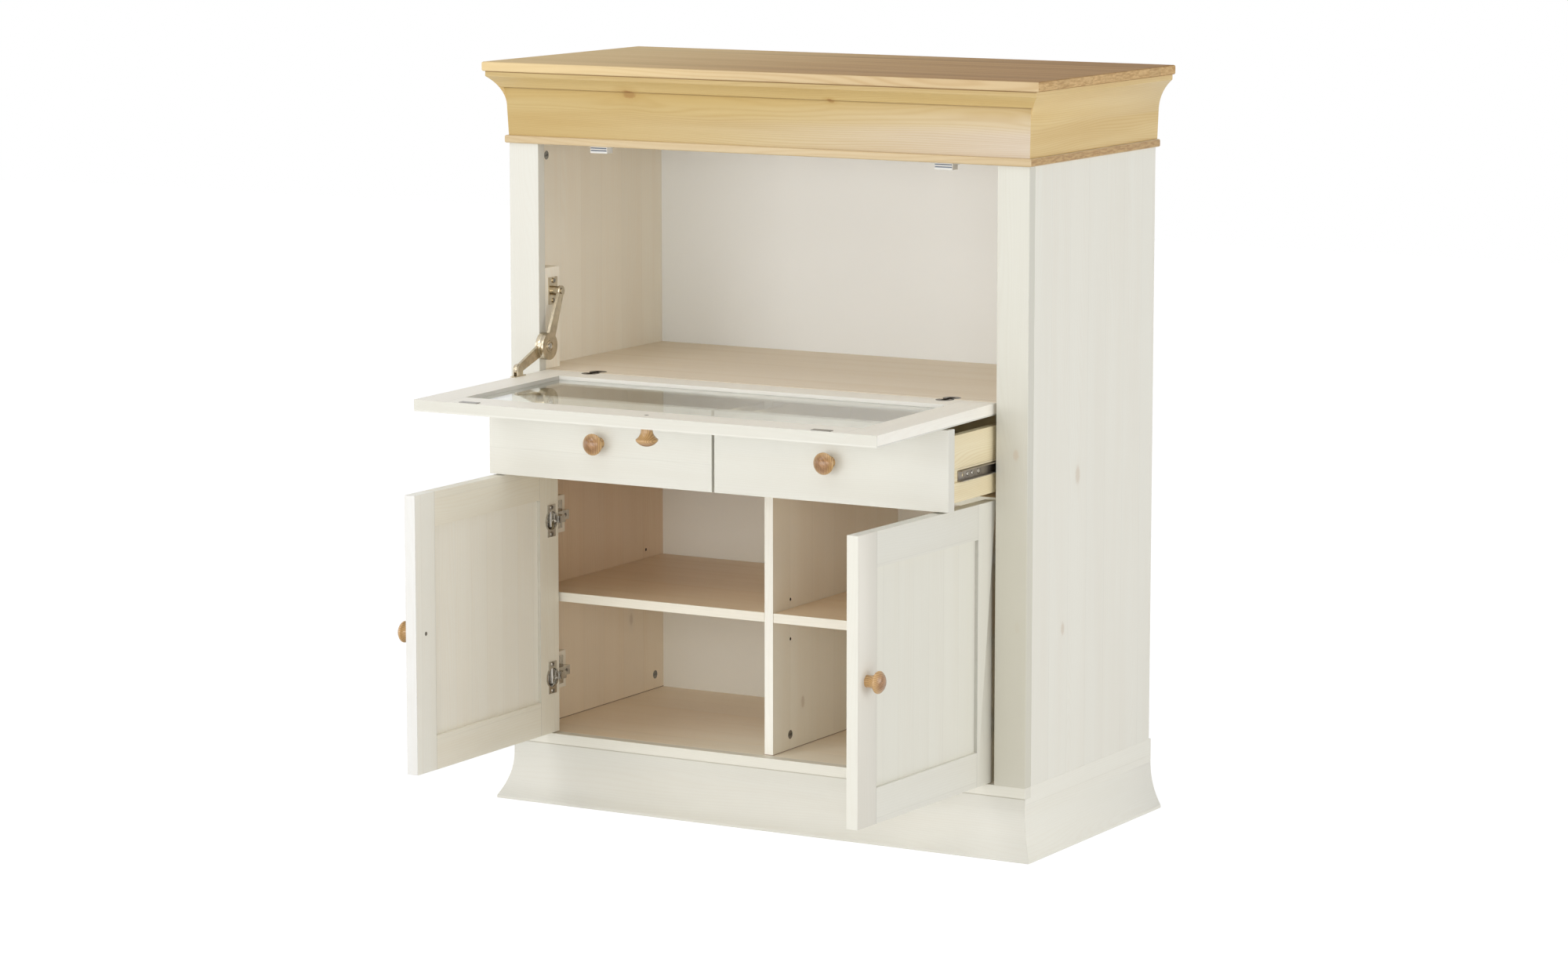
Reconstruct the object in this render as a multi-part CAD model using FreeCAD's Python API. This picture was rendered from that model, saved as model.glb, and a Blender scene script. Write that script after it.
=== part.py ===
import FreeCAD, Part
import math
import os

# A free-standing bar cabinet: a carcass with a fall-front bar compartment, two drawers,
# two doors with shelves behind, a flared plinth and a crown moulding under an oiled top.
# The front face of the stiles is the plane Y = front, the floor is Z = 0.
# It is drawn as photographed: flap down, drawers part out, doors open.

# Whole cabinet
body_width = 982.0
body_depth = 460.0
body_top = 1123.0
crown_height = 121.0
top_board_thickness = 16.0
plinth_height = 118.0

# Boards
side_thickness = 22.0
board_thickness = 18.0
divider_thickness = 16.0
shelf_thickness = 16.0
back_thickness = 4.0
back_rebate = 10.0
worktop_thickness = 19.5
worktop_top = 740.5
shelf_top = 359.0
deck_top = 585.0
inner_front_setback = 22.5

# Face frame
stile_width = 57.0
stile_thickness = 20.0

# Top board
top_overhang_side = 32.0
top_overhang_front = 34.0
top_overhang_back = 6.0
top_edge_round = 3.0

# Crown moulding
crown_board_depth = 10.0
crown_front_projection = 31.0
crown_side_projection = 27.0
crown_fillet_height = 8.5
crown_foot_share = 0.015
cove_foot_share = 0.085
cove_drop = 53.0
crown_mitre_share = 1.2
crease_projection = 13.0
crease_step = 6.5
crease_drop = 1.2
bead_height = 13.0
bead_projection = 5.5
bead_round = 2.6
crown_block_size = 40.0
crown_rail_thickness = 20.0

# Plinth
plinth_board_thickness = 22.0
plinth_flare_side = 20.0
plinth_flare_front = 25.0
plinth_foot_height = 5.0
plinth_curve_top_gap = 22.0
plinth_rail_thickness = 20.0
plinth_mitre_share = 1.3
plinth_overhang_back = 8.0

# Doors
door_bottom_gap = 3.0
door_top = 582.5
door_thickness = 20.0
door_side_gap = 2.0
door_centre_gap = 1.5
door_stile_width = 57.0
door_rail_width = 57.0
door_panel_thickness = 8.0
door_panel_recess = 6.0
door_panel_tongue = 9.0
door_panel_play = 0.5
door_field_bevel = 1.6
door_left_open_angle = 90.0
door_right_open_angle = 88.0
door_stay_open_angle = 110.0

# Door hinges
hinge_end_distance = 96.0
hinge_axis_from_edge = 9.0
hinge_axis_depth = 4.5
hinge_cup_diameter = 35.0
hinge_cup_depth = 12.0
hinge_cup_from_edge = 22.0
hinge_cup_wall = 1.5
hinge_flange_height = 55.0
hinge_flange_width = 23.0
hinge_flange_thickness = 1.6
hinge_screw_diameter = 8.0
hinge_screw_head = 0.8
hinge_knuckle_diameter = 6.0
hinge_knuckle_rise = 2.0
hinge_tip_clearance = 0.3
hinge_tip_reach = 13.0
hinge_tip_thickness = 3.5
hinge_tip_width = 12.0
hinge_tip_floor_gap = 1.0
hinge_crank_gap = 0.7
hinge_crank_thickness = 4.0
hinge_arm_length = 46.0
hinge_arm_width = 16.0
hinge_arm_height = 11.0
hinge_plate_thickness = 2.0
hinge_plate_height = 48.0
hinge_plate_length = 34.0
hinge_block_height = 64.0
hinge_block_length = 56.0

# Drawers
drawer_front_top = 716.5
drawer_front_thickness = 20.0
drawer_centre_gap = 2.5
drawer_side_gap = 2.0
drawer_box_bottom = 596.0
drawer_box_top = 704.0
drawer_box_length = 400.0
drawer_side_thickness = 13.0
drawer_bottom_thickness = 4.0
drawer_bottom_rise = 8.0
drawer_bottom_groove = 6.0
drawer_pulled_out = 158.0
partition_thickness = 18.0

# Drawer slides
slide_height = 17.0
slide_thickness = 9.5
slide_seat_gap = 0.5
slide_groove_depth = 3.0
slide_wall = 1.2
slide_ball_gap = 0.5
slide_length = 350.0
slide_setback = 25.0
slide_bottom = 629.0
slide_groove_play = 1.0
slide_hole_diameter = 6.0
slide_hole_pitch = 32.0
slide_hole_count = 3
runner_block_height = 36.0

# Flap
flap_thickness = 19.0
flap_length = 403.0
flap_side_gap = 6.0
flap_proud = 2.0
flap_root_setback = 17.5
flap_over_drawer_gap = 2.8
flap_sag_angle = 0.75
flap_edge_round = 4.5
flap_swing_clearance = 0.5
flap_closing_angle = 90.0
flap_frame_width = 60.0
glass_thickness = 4.0
glass_recess = 6.0
glass_seat = 7.0
flap_knob_inset = 23.0
flap_hinge_offset = 337.0
flap_cup_diameter = 30.0
flap_cup_from_edge = 11.0
flap_cup_depth = 12.0
flap_cup_play = 0.1
flap_slot_width = 11.0
flap_slot_depth = 6.0

# Magnetic catches and their strike plates
catch_offset = 326.0
catch_width = 33.0
catch_depth = 19.0
catch_height = 13.0
catch_ear_span = 50.0
catch_ear_thickness = 3.0
catch_pole_thickness = 1.2
catch_pole_reach = 0.8
catch_air_gap = 0.4
catch_pole_shares = (0.3, 0.6)
strike_width = 34.0
strike_height = 12.0
strike_thickness = 1.0
strike_screw_diameter = 6.0
strike_screw_head = 0.6
strike_from_edge = 9.0

# Knobs
knob_diameter = 35.0
knob_length = 31.0
knob_base_diameter = 20.0
knob_neck_diameter = 20.5
knob_rim_height = 3.5
knob_dome_height = 8.5
knob_bulge_share = 0.15

# Flap stay
stay_pin_diameter = 6.0
stay_pin_play = 0.1
stay_hub_diameter = 46.0
stay_hub_thickness = 6.4
stay_hub_setback = 3.0
stay_hub_rise = 41.5
stay_wall_pin_setback = 42.0
stay_wall_pin_rise = 131.5
stay_flap_pin_distance = 97.0
stay_flap_pin_rise = 12.0
stay_arm_thickness = 5.0
stay_arm_wide = 22.0
stay_arm_narrow = 14.0
stay_layer_gap = 0.4
stay_lower_hub_thickness = 8.6
stay_side_gap = 0.5
stay_ring_diameter = 20.0
stay_ring_height = 1.0
stay_ring_wall = 2.5
stay_eye_diameter = 18.0
stay_pin_head_diameter = 10.0
stay_pin_head_thickness = 1.4
stay_plate_thickness = 2.0
stay_plate_height = 46.0
stay_plate_width = 26.0
stay_boss_diameter = 16.0
stay_screw_diameter = 8.0
stay_screw_head = 1.8
stay_ear_thickness = 1.8
stay_foot_length = 34.0
stay_foot_thickness = 1.8
stay_block_bottom_gap = 0.0
stay_block_over_pin = 40.0
stay_block_length = 44.0

# Shelf pins and connector housings
pin_diameter = 5.0
pin_hole_depth = 7.5
pin_reach = 7.0
pin_front_setback = 81.0
pin_back_inset = 62.0
pin_hole_pitch = 33.5
shelf_side_gap = 0.5
shelf_back_gap = 1.0
connector_diameter = 15.0
connector_play = 0.1
connector_bore_depth = 12.5
connector_recess = 0.3
connector_board_distance = 26.0
connector_front_setback = 81.0
connector_back_inset = 32.0
connector_slot_width = 3.0
connector_slot_depth = 2.0

# Turn of every revolved piece, in degrees
full_turn = 360.0

# Overrun of every cutting tool past the face that it cuts
overrun = 5.0

# How near two places are that count as the same
same_place = 0.005

# Places worked out from the sizes
front = -body_depth / 2
back = body_depth / 2
half_width = body_width / 2
inner_wall = half_width - side_thickness
opening_half = half_width - stile_width
stile_back = front + stile_thickness
back_face = back - back_thickness
inner_front = front + inner_front_setback
crown_foot = body_top + bead_height
crown_top = body_top + crown_height
total_height = crown_top + top_board_thickness
crown_back = back + top_overhang_back
crown_side_reach = crown_side_projection * crown_mitre_share
crown_front_reach = crown_front_projection * crown_mitre_share
plinth_back = back + plinth_overhang_back
plinth_side_reach = plinth_flare_side * plinth_mitre_share
plinth_front_reach = plinth_flare_front * plinth_mitre_share
rail_bottom = plinth_height - board_thickness
floor_top = plinth_height
deck_bottom = deck_top - board_thickness
worktop_bottom = worktop_top - worktop_thickness
half_divider = divider_thickness / 2
half_partition = partition_thickness / 2

# The flap turns about one axis that brings it from flush with the worktop to closed
flap_closed_bottom = drawer_front_top + flap_over_drawer_gap
flap_root = front + flap_root_setback
flap_drop = flap_closed_bottom + flap_root_setback - worktop_top - flap_proud + flap_thickness
flap_axis_setback = flap_drop / 2
flap_axis_y = front + flap_axis_setback
flap_axis_z = flap_axis_setback + worktop_top + flap_proud - flap_thickness
flap_half_width = opening_half - flap_side_gap
flap_bottom = worktop_top - flap_thickness
flap_end = flap_root - flap_length
root_reach = flap_root - flap_axis_y - flap_edge_round
root_rise = worktop_top - flap_axis_z - flap_edge_round
worktop_front = flap_axis_y + math.hypot(root_reach, root_rise) + flap_edge_round + flap_swing_clearance

# Door sizes and hinge axis
door_bottom = floor_top + door_bottom_gap
door_edge = opening_half - door_side_gap
door_axis_x = door_edge - hinge_axis_from_edge
door_axis_y = front + hinge_axis_depth
hinge_heights = (door_bottom + hinge_end_distance, door_top - hinge_end_distance)
knob_seat_height = (door_bottom + door_top) / 2

# Drawer sizes, closed
drawer_front_bottom = deck_top
drawer_outer_edge = opening_half - drawer_side_gap
drawer_outer_face = opening_half - slide_seat_gap - slide_thickness + slide_groove_depth
drawer_inner_face = half_partition + slide_seat_gap + slide_thickness - slide_groove_depth
drawer_box_front = front + drawer_front_thickness
drawer_box_back = drawer_box_front + drawer_box_length
slide_top = slide_bottom + slide_height
slide_middle = slide_bottom + slide_height / 2
slide_front = drawer_box_front + slide_setback

# Stay places at rest
stay_wall_face = opening_half
stay_wall_y = front + stay_wall_pin_setback
stay_hub_y = front + stay_hub_setback
stay_wall_pin_height = worktop_top + stay_wall_pin_rise
stay_hub_height = worktop_top + stay_hub_rise
stay_block_top = stay_wall_pin_height + stay_block_over_pin

X_AXIS = FreeCAD.Vector(1, 0, 0)
Y_AXIS = FreeCAD.Vector(0, 1, 0)
Z_AXIS = FreeCAD.Vector(0, 0, 1)
ORIGIN = FreeCAD.Vector(0, 0, 0)


def point(x, y, z):
    return FreeCAD.Vector(x, y, z)


def block(x0, x1, y0, y1, z0, z1):
    """A box between two corners."""
    return Part.makeBox(x1 - x0, y1 - y0, z1 - z0, point(x0, y0, z0))


def rod(diameter, start, axis, length):
    """A cylinder of one diameter from a start point along an axis."""
    return Part.makeCylinder(diameter / 2, length, start, axis)


def prism(corners, along):
    """A closed outline of corners, pushed along a vector."""
    wire = Part.makePolygon(corners + [corners[0]])
    return Part.Face(wire).extrude(along)


def mirrored(shape):
    """The same piece on the other side of the middle of the cabinet."""
    return shape.mirror(ORIGIN, X_AXIS)


def fused(shapes):
    """Several overlapping bodies of one piece joined to one solid."""
    whole = shapes[0].multiFuse(shapes[1:]).removeSplitter()
    return whole


def turned_about(shape, centre, axis, angle):
    """A copy of a shape, turned about an axis through a point."""
    copy = shape.copy()
    copy.rotate(centre, axis, angle)
    return copy


def side_holes(x_face, outward, heights, diameter, depth, setbacks):
    """Blind holes bored into an upright panel from its face at x_face."""
    holes = []
    for setback in setbacks:
        for height in heights:
            start = point(x_face + outward * overrun, setback, height)
            holes.append(rod(diameter, start, X_AXIS * -outward, depth + overrun))
    return holes


# Places of the shelf pins and of the connector housings, front and back
pin_places = (front + pin_front_setback, back - pin_back_inset)
pin_height = shelf_top - shelf_thickness - pin_diameter / 2
pin_hole_heights = (pin_height - pin_hole_pitch, pin_height, pin_height + pin_hole_pitch)
connector_places = (front + connector_front_setback, back - connector_back_inset)
connector_low = floor_top + connector_board_distance
connector_high = body_top - connector_board_distance
connector_bore = connector_diameter + connector_play


def side_panel():
    """Left side panel on the plinth, with a rebate for the back and its bores."""
    panel = block(-half_width, -inner_wall, stile_back, back, plinth_height, body_top)
    rebate = block(-inner_wall - back_rebate, -inner_wall + overrun, back_face, back + overrun,
                   rail_bottom, body_top + overrun)
    holes = side_holes(-inner_wall, 1, pin_hole_heights, pin_diameter, pin_hole_depth, pin_places)
    holes += side_holes(-inner_wall, 1, (connector_low, connector_high), connector_bore,
                        connector_bore_depth, connector_places)
    return panel.cut([rebate] + holes)


def face_stile():
    """Left upright of the face frame, in front of the side panel."""
    return block(-half_width, -opening_half, front, stile_back, plinth_height, body_top)


def bottom_panel():
    """Floor of the lower compartments, between the plinth sides."""
    return block(-inner_wall, inner_wall, stile_back, back_face, rail_bottom, floor_top)


def lower_front_rail():
    """Front band under the doors, as wide as the body."""
    return block(-half_width, half_width, front, stile_back, rail_bottom, floor_top)


def centre_divider():
    """Upright between the two lower compartments, drilled through for the shelf pins."""
    divider = block(-half_divider, half_divider, inner_front, back_face, floor_top, deck_bottom)
    holes = []
    for place in pin_places:
        for height in pin_hole_heights:
            start = point(-half_divider - overrun, place, height)
            holes.append(rod(pin_diameter, start, X_AXIS, divider_thickness + overrun * 2))
    holes += side_holes(half_divider, 1, (connector_low,), connector_bore,
                        connector_bore_depth, connector_places)
    return divider.cut(holes)


def shelf():
    """Left loose shelf, resting on four pins."""
    return block(-inner_wall + shelf_side_gap, -half_divider - shelf_side_gap, inner_front,
                 back_face - shelf_back_gap, shelf_top - shelf_thickness, shelf_top)


def shelf_pins():
    """Eight pins, pushed into the walls and the divider under the shelves."""
    pins = []
    for place in pin_places:
        for wall, inward in ((-inner_wall, 1), (-half_divider, -1)):
            start = point(wall - inward * pin_hole_depth, place, pin_height)
            pin = rod(pin_diameter, start, X_AXIS * inward, pin_hole_depth + pin_reach)
            pins += [pin, mirrored(pin)]
    return pins


def connectors():
    """Round connector housings in the side panels and in the divider."""
    housings = []
    for place in connector_places:
        spots = [(-inner_wall, height) for height in (connector_low, connector_high)]
        for wall, height in spots:
            housing = connector(wall, place, height)
            housings += [housing, mirrored(housing)]
        housings.append(connector(half_divider, place, connector_low))
    return housings


def connector(wall, place, height):
    """One slotted housing, its face just under the face of the panel."""
    length = connector_bore_depth - connector_recess
    start = point(wall - connector_bore_depth, place, height)
    body = rod(connector_diameter, start, X_AXIS, length)
    face = wall - connector_recess
    slot = block(face - connector_slot_depth, face + overrun,
                 place - connector_diameter / 3, place + connector_diameter / 3,
                 height - connector_slot_width / 2, height + connector_slot_width / 2)
    return body.cut(slot)


def drawer_deck():
    """Board under the drawers, which the doors close against at the top."""
    return block(-inner_wall, inner_wall, inner_front, back_face, deck_bottom, deck_top)


def drawer_partition():
    """Upright between the drawers, from the deck to the worktop."""
    return block(-half_partition, half_partition, inner_front, back_face, deck_top, worktop_bottom)


def flap_cup_tool(length_sign, z_top, edge):
    """The round bore of a flap hinge, on the flap side or on the worktop side."""
    centre = edge + length_sign * flap_cup_from_edge
    start = point(-flap_hinge_offset, centre, z_top - flap_cup_depth)
    return rod(flap_cup_diameter, start, Z_AXIS, flap_cup_depth + overrun)


def worktop_blank():
    """Worktop before its hinge bores."""
    return block(-inner_wall, inner_wall, worktop_front, back_face, worktop_bottom, worktop_top)


def worktop():
    """Floor of the bar compartment, bored for two flap hinges."""
    bore = flap_cup_tool(1, worktop_top, worktop_front)
    return worktop_blank().cut([bore, mirrored(bore)])


def hinge_cup_from(blank, length_sign, z_top, edge):
    """Metal cup that fills a hinge bore, with a slot for the link and its pin."""
    centre = edge + length_sign * flap_cup_from_edge
    start = point(-flap_hinge_offset, centre, z_top - flap_cup_depth)
    body = rod(flap_cup_diameter - flap_cup_play, start, Z_AXIS, flap_cup_depth).common(blank)
    half_slot = flap_slot_width / 2
    reach = flap_cup_from_edge + overrun
    slot = block(-flap_hinge_offset - half_slot, -flap_hinge_offset + half_slot,
                 centre - (reach if length_sign > 0 else half_slot),
                 centre + (half_slot if length_sign > 0 else reach),
                 z_top - flap_slot_depth, z_top + overrun)
    pin = rod(stay_pin_diameter / 2, point(-flap_hinge_offset - half_slot, centre,
                                           z_top - flap_slot_depth / 2), X_AXIS, flap_slot_width)
    return fused([body.cut(slot), pin])


def back_panel():
    """Thin back in the rebates of the side panels."""
    side = inner_wall + back_rebate
    upper = block(-side, side, back_face, back, plinth_height, body_top)
    lower = block(-inner_wall, inner_wall, back_face, back, rail_bottom, plinth_height)
    return fused([upper, lower])


def cove_arc(foot_projection, foot_height, head, head_height, end):
    """Three points of a cove, upright at its foot, from its head down to a projection."""
    rise = head - foot_projection
    drop = head_height - foot_height
    radius = (rise * rise + drop * drop) / (rise * 2)

    def level(projection):
        across = radius - (projection - foot_projection)
        return foot_height + math.sqrt(radius * radius - across * across)

    return [(place, level(place)) for place in (head, (head + end) / 2, end)]


def crown_profile(head, stepped):
    """Outline of the crown moulding as arcs of pairs of projection and height."""
    head_height = crown_top - crown_fillet_height
    foot_height = head_height - cove_drop
    foot = head * cove_foot_share
    if not stepped:
        return [cove_arc(foot, foot_height, head, head_height, foot)]
    band = cove_arc(foot, foot_height, head, head_height, crease_projection)
    crease_height = band[-1][1] - crease_drop
    lower = cove_arc(foot, foot_height, crease_projection - crease_step, crease_height, foot)
    return [band, lower]


def moulding(pieces, place, first, last, depth, toe, low, high):
    """A moulded board: arcs of projection and height over a toe, swept from first to last."""
    edges = []
    start = place(first, -depth, high)
    here = place(first, pieces[0][0][0], high)
    edges.append(Part.LineSegment(start, here).toShape())
    for piece in pieces:
        ends = [place(first, projection, height) for projection, height in piece]
        if here.distanceToPoint(ends[0]) > same_place:
            edges.append(Part.LineSegment(here, ends[0]).toShape())
        edges.append(Part.Arc(*ends).toShape())
        here = ends[-1]
    foot = place(first, toe, low)
    heel = place(first, -depth, low)
    edges.append(Part.LineSegment(here, foot).toShape())
    edges.append(Part.LineSegment(foot, heel).toShape())
    edges.append(Part.LineSegment(heel, start).toShape())
    face = Part.Face(Part.Wire(edges))
    return face.extrude(place(last, 0, low) - place(first, 0, low))


def on_front(x, projection, height):
    """A point of a front moulding: its projection stands out of the front face."""
    return point(x, front - projection, height)


def on_left(y, projection, height):
    """A point of a left moulding: its projection stands out of the left side."""
    return point(-half_width - projection, y, height)


def mitre_zone(side_reach, front_reach, inside, low, high):
    """Upright wedge of the front pieces, between the two mitre planes."""
    outer_x = half_width + side_reach
    outer_y = front - front_reach
    corners = [point(-outer_x, outer_y, low), point(outer_x, outer_y, low),
               point(half_width, front, low), point(half_width - inside, front + inside, low),
               point(-half_width + inside, front + inside, low), point(-half_width, front, low)]
    return prism(corners, Z_AXIS * (high - low))


def side_zone(side_reach, front_reach, inside, low, high, end):
    """Upright wedge of the left pieces, behind the left mitre plane."""
    outer_x = half_width + side_reach
    outer_y = front - front_reach
    corners = [point(-outer_x, outer_y, low), point(-half_width, front, low),
               point(-half_width + inside, front + inside, low),
               point(-half_width + inside, end, low), point(-outer_x, end, low)]
    return prism(corners, Z_AXIS * (high - low))


def crown_front():
    """Front moulding of the crown, with a crease below its upper band."""
    reach = half_width + crown_side_reach
    profile = crown_profile(crown_front_projection, True)
    board = moulding(profile, on_front, -reach, reach, crown_board_depth,
                     crown_front_projection * crown_foot_share, crown_foot, crown_top)
    zone = mitre_zone(crown_side_reach, crown_front_reach, crown_board_depth, crown_foot, crown_top)
    return board.common(zone)


def crown_side():
    """Left moulding of the crown, a plain cove."""
    profile = crown_profile(crown_side_projection, False)
    board = moulding(profile, on_left, front - crown_front_reach, crown_back, crown_board_depth,
                     crown_side_projection * crown_foot_share, crown_foot, crown_top)
    zone = side_zone(crown_side_reach, crown_front_reach, crown_board_depth, crown_foot, crown_top,
                     crown_back)
    return board.common(zone)


def crown_base_board():
    """Board over the bar compartment, its rounded edges showing as a bead under the crown."""
    board = block(-half_width - bead_projection, half_width + bead_projection,
                  front - bead_projection, crown_back, body_top, crown_foot)
    level = [edge for edge in board.Edges if not edge_runs(edge, "z")]
    return board.makeFillet(bead_round, level)


def edge_lies(edge, name, value):
    """True where both ends of an edge have one coordinate at a value."""
    return all(abs(getattr(vertex.Point, name) - value) < same_place for vertex in edge.Vertexes)


def edge_runs(edge, name):
    """True where an edge is straight along one axis."""
    box = edge.BoundBox
    spans = {"x": box.XLength, "y": box.YLength, "z": box.ZLength}
    return spans[name] > sum(spans.values()) / 2


def crown_inner_blocks():
    """Back rail of the crown and four glue blocks under the top board."""
    low = crown_foot
    inner = half_width - crown_board_depth
    rail = block(-inner, inner, crown_back - crown_rail_thickness, crown_back, low, crown_top)
    pieces = [rail]
    front_start = front + crown_board_depth
    back_end = crown_back - crown_rail_thickness
    for start in (front_start, back_end - crown_block_size):
        corner = block(-inner, -inner + crown_block_size, start, start + crown_block_size, low, crown_top)
        pieces += [corner, mirrored(corner)]
    return pieces


def top_board():
    """Oiled top board with eased edges, overhanging the crown."""
    board = block(-half_width - top_overhang_side, half_width + top_overhang_side,
                  front - top_overhang_front, crown_back, crown_top, total_height)
    level = [edge for edge in board.Edges if not edge_runs(edge, "z")]
    return board.makeFillet(top_edge_round, level)


def plinth_profile(flare, top):
    """Outline of the flared skirt: a concave curve down to an upright foot."""
    curve_top = top - plinth_curve_top_gap
    drop = curve_top - plinth_foot_height
    radius = (flare * flare + drop * drop) / (flare * 2)

    def height(projection):
        across = radius - projection
        return curve_top - math.sqrt(radius * radius - across * across)

    places = (0, flare / 3, flare)
    return [[(p, height(p)) for p in places]]


def plinth_moulding(place, flare, first, last, top):
    """A skirt board, flared to the floor."""
    pieces = plinth_profile(flare, top)
    curve = [place(first, projection, height) for projection, height in pieces[0]]
    corners = [place(first, -plinth_board_thickness, 0), place(first, -plinth_board_thickness, top),
               place(first, 0, top), curve[0]]
    edges = [Part.LineSegment(a, b).toShape() for a, b in zip(corners, corners[1:])]
    edges.append(Part.Arc(*curve).toShape())
    toe = place(first, flare, 0)
    edges.append(Part.LineSegment(curve[-1], toe).toShape())
    edges.append(Part.LineSegment(toe, corners[0]).toShape())
    face = Part.Face(Part.Wire(edges))
    return face.extrude(place(last, 0, 0) - place(first, 0, 0))


def plinth_front():
    """Front skirt, under the front band."""
    reach = half_width + plinth_side_reach
    board = plinth_moulding(on_front, plinth_flare_front, -reach, reach, rail_bottom)
    zone = mitre_zone(plinth_side_reach, plinth_front_reach, plinth_board_thickness, 0, rail_bottom)
    return board.common(zone)


def plinth_side():
    """Left skirt, as high as the body's foot, notched for the front band."""
    low_board = plinth_moulding(on_left, plinth_flare_side, front - plinth_front_reach, plinth_back,
                                rail_bottom)
    zone = side_zone(plinth_side_reach, plinth_front_reach, plinth_board_thickness, 0, rail_bottom,
                     plinth_back)
    upper = block(-half_width, -inner_wall, stile_back, plinth_back, rail_bottom, plinth_height)
    return fused([low_board.common(zone), upper])


def plinth_inner_rails():
    """Back rail and centre batten inside the plinth, both down to the floor."""
    rail_front = plinth_back - plinth_rail_thickness
    rail = block(-inner_wall, inner_wall, rail_front, plinth_back, 0, rail_bottom)
    half_batten = plinth_rail_thickness / 2
    batten = block(-half_batten, half_batten, front + plinth_board_thickness, rail_front, 0, rail_bottom)
    return [rail, batten]


def mounting_blocks():
    """Wooden packers behind the stiles, for the door hinges and the flap stay."""
    blocks = []
    for height in hinge_heights:
        packer = block(-inner_wall, -opening_half, stile_back, stile_back + hinge_block_length,
                       height - hinge_block_height / 2, height + hinge_block_height / 2)
        blocks += [packer, mirrored(packer)]
    stay_packer = block(-inner_wall, -opening_half, worktop_front, stile_back + stay_block_length,
                        worktop_top + stay_block_bottom_gap, stay_block_top)
    blocks.append(stay_packer)
    return blocks


def runner_blocks():
    """Battens that carry the outer drawer runners flush with the stiles."""
    low = slide_middle - runner_block_height / 2
    batten = block(-inner_wall, -opening_half, stile_back, drawer_box_back, low, low + runner_block_height)
    return [batten, mirrored(batten)]


def runner_profile(wall, inward):
    """Fixed half of a slide: a small channel screwed to the cabinet at x = wall."""
    reach = slide_seat_gap + slide_thickness - slide_wall - slide_ball_gap
    half_height = slide_height / 2 - slide_wall - slide_ball_gap
    start = slide_front - slide_ball_gap * 2
    end = start + slide_length
    x0, x1 = sorted((wall, wall + inward * reach))
    outer = block(x0, x1, start, end, slide_middle - half_height, slide_middle + half_height)
    c0, c1 = sorted((wall + inward * slide_wall, wall + inward * (reach + overrun)))
    inner_half = half_height - slide_wall
    channel = block(c0, c1, start - overrun, end + overrun, slide_middle - inner_half,
                    slide_middle + inner_half)
    return outer.cut(channel)


def drawer_runners():
    """The four fixed slide halves, two at the sides and two on the partition."""
    outer = runner_profile(-opening_half, 1)
    inner = runner_profile(-half_partition, -1)
    return [outer, inner, mirrored(outer), mirrored(inner)]


def magnetic_catches():
    """Two catches under the board over the flap, with poles towards the flap."""
    face = front - flap_proud + flap_thickness + strike_thickness + catch_air_gap
    low = body_top - catch_height
    half = catch_width / 2
    body_front = face + catch_pole_reach
    body = block(catch_offset - half, catch_offset + half, body_front, face + catch_depth, low, body_top)
    ears = block(catch_offset - catch_ear_span / 2, catch_offset + catch_ear_span / 2,
                 face + catch_depth / 3, face + catch_depth, body_top - catch_ear_thickness, body_top)
    poles = []
    for pole_share in catch_pole_shares:
        level = low + catch_height * pole_share
        poles.append(block(catch_offset - half + catch_pole_thickness,
                           catch_offset + half - catch_pole_thickness,
                           face, body_front, level, level + catch_pole_thickness))
    catch = fused([body, ears] + poles)
    return [catch, mirrored(catch)]


# Left door hinge: the cup swings with the door about the hinge axis
hinge_sweep = math.hypot(hinge_axis_from_edge, door_thickness - hinge_axis_depth)
hinge_tip_far = door_axis_x - hinge_sweep - hinge_tip_clearance - hinge_tip_thickness
hinge_cup_x = door_edge - hinge_cup_from_edge
hinge_cup_floor = front + door_thickness - hinge_cup_depth


def door_hinge_arm(height):
    """Left fixed hinge arm: a plate, a body and a crank that reaches into the cup."""
    wall = -opening_half
    crank_front = front + hinge_axis_depth + hinge_sweep + hinge_crank_gap
    crank_back = crank_front + hinge_crank_thickness
    half_tip = hinge_tip_width / 2
    plate_front = crank_back + hinge_crank_thickness
    plate = block(wall, wall + hinge_plate_thickness, plate_front, plate_front + hinge_plate_length,
                  height - hinge_plate_height / 2, height + hinge_plate_height / 2)
    arm = block(wall + hinge_plate_thickness, wall + hinge_plate_thickness + hinge_arm_height,
                crank_front, crank_front + hinge_arm_length,
                height - hinge_arm_width / 2, height + hinge_arm_width / 2)
    crank = block(wall + hinge_plate_thickness, -hinge_tip_far, crank_front, crank_back,
                  height - half_tip, height + half_tip)
    tip_front = hinge_cup_floor + hinge_cup_wall + hinge_tip_floor_gap
    tip = block(hinge_tip_reach - door_axis_x, -hinge_tip_far, tip_front, crank_back,
                height - half_tip, height + half_tip)
    sweep = rod((hinge_sweep + hinge_tip_clearance) * 2,
                point(-door_axis_x, door_axis_y, height - hinge_tip_width), Z_AXIS, hinge_tip_width * 2)
    tip = tip.cut(sweep)
    screws = []
    for side in (-1, 1):
        level = height + side * (hinge_plate_height / 2 - hinge_screw_diameter)
        start = point(wall + hinge_plate_thickness, plate_front + hinge_plate_length / 2, level)
        screws.append(rod(hinge_screw_diameter, start, X_AXIS, hinge_screw_head))
    return fused([plate, arm, crank, tip] + screws)


def door_hinge_arms():
    """The four fixed hinge arms."""
    arms = []
    for height in hinge_heights:
        arm = door_hinge_arm(height)
        arms += [arm, mirrored(arm)]
    return arms


def hinge_cup_bore(height):
    """Bore for a hinge cup in the back of the left door, drawn closed."""
    start = point(-hinge_cup_x, hinge_cup_floor, height)
    return rod(hinge_cup_diameter, start, Y_AXIS, hinge_cup_depth + overrun)


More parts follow.
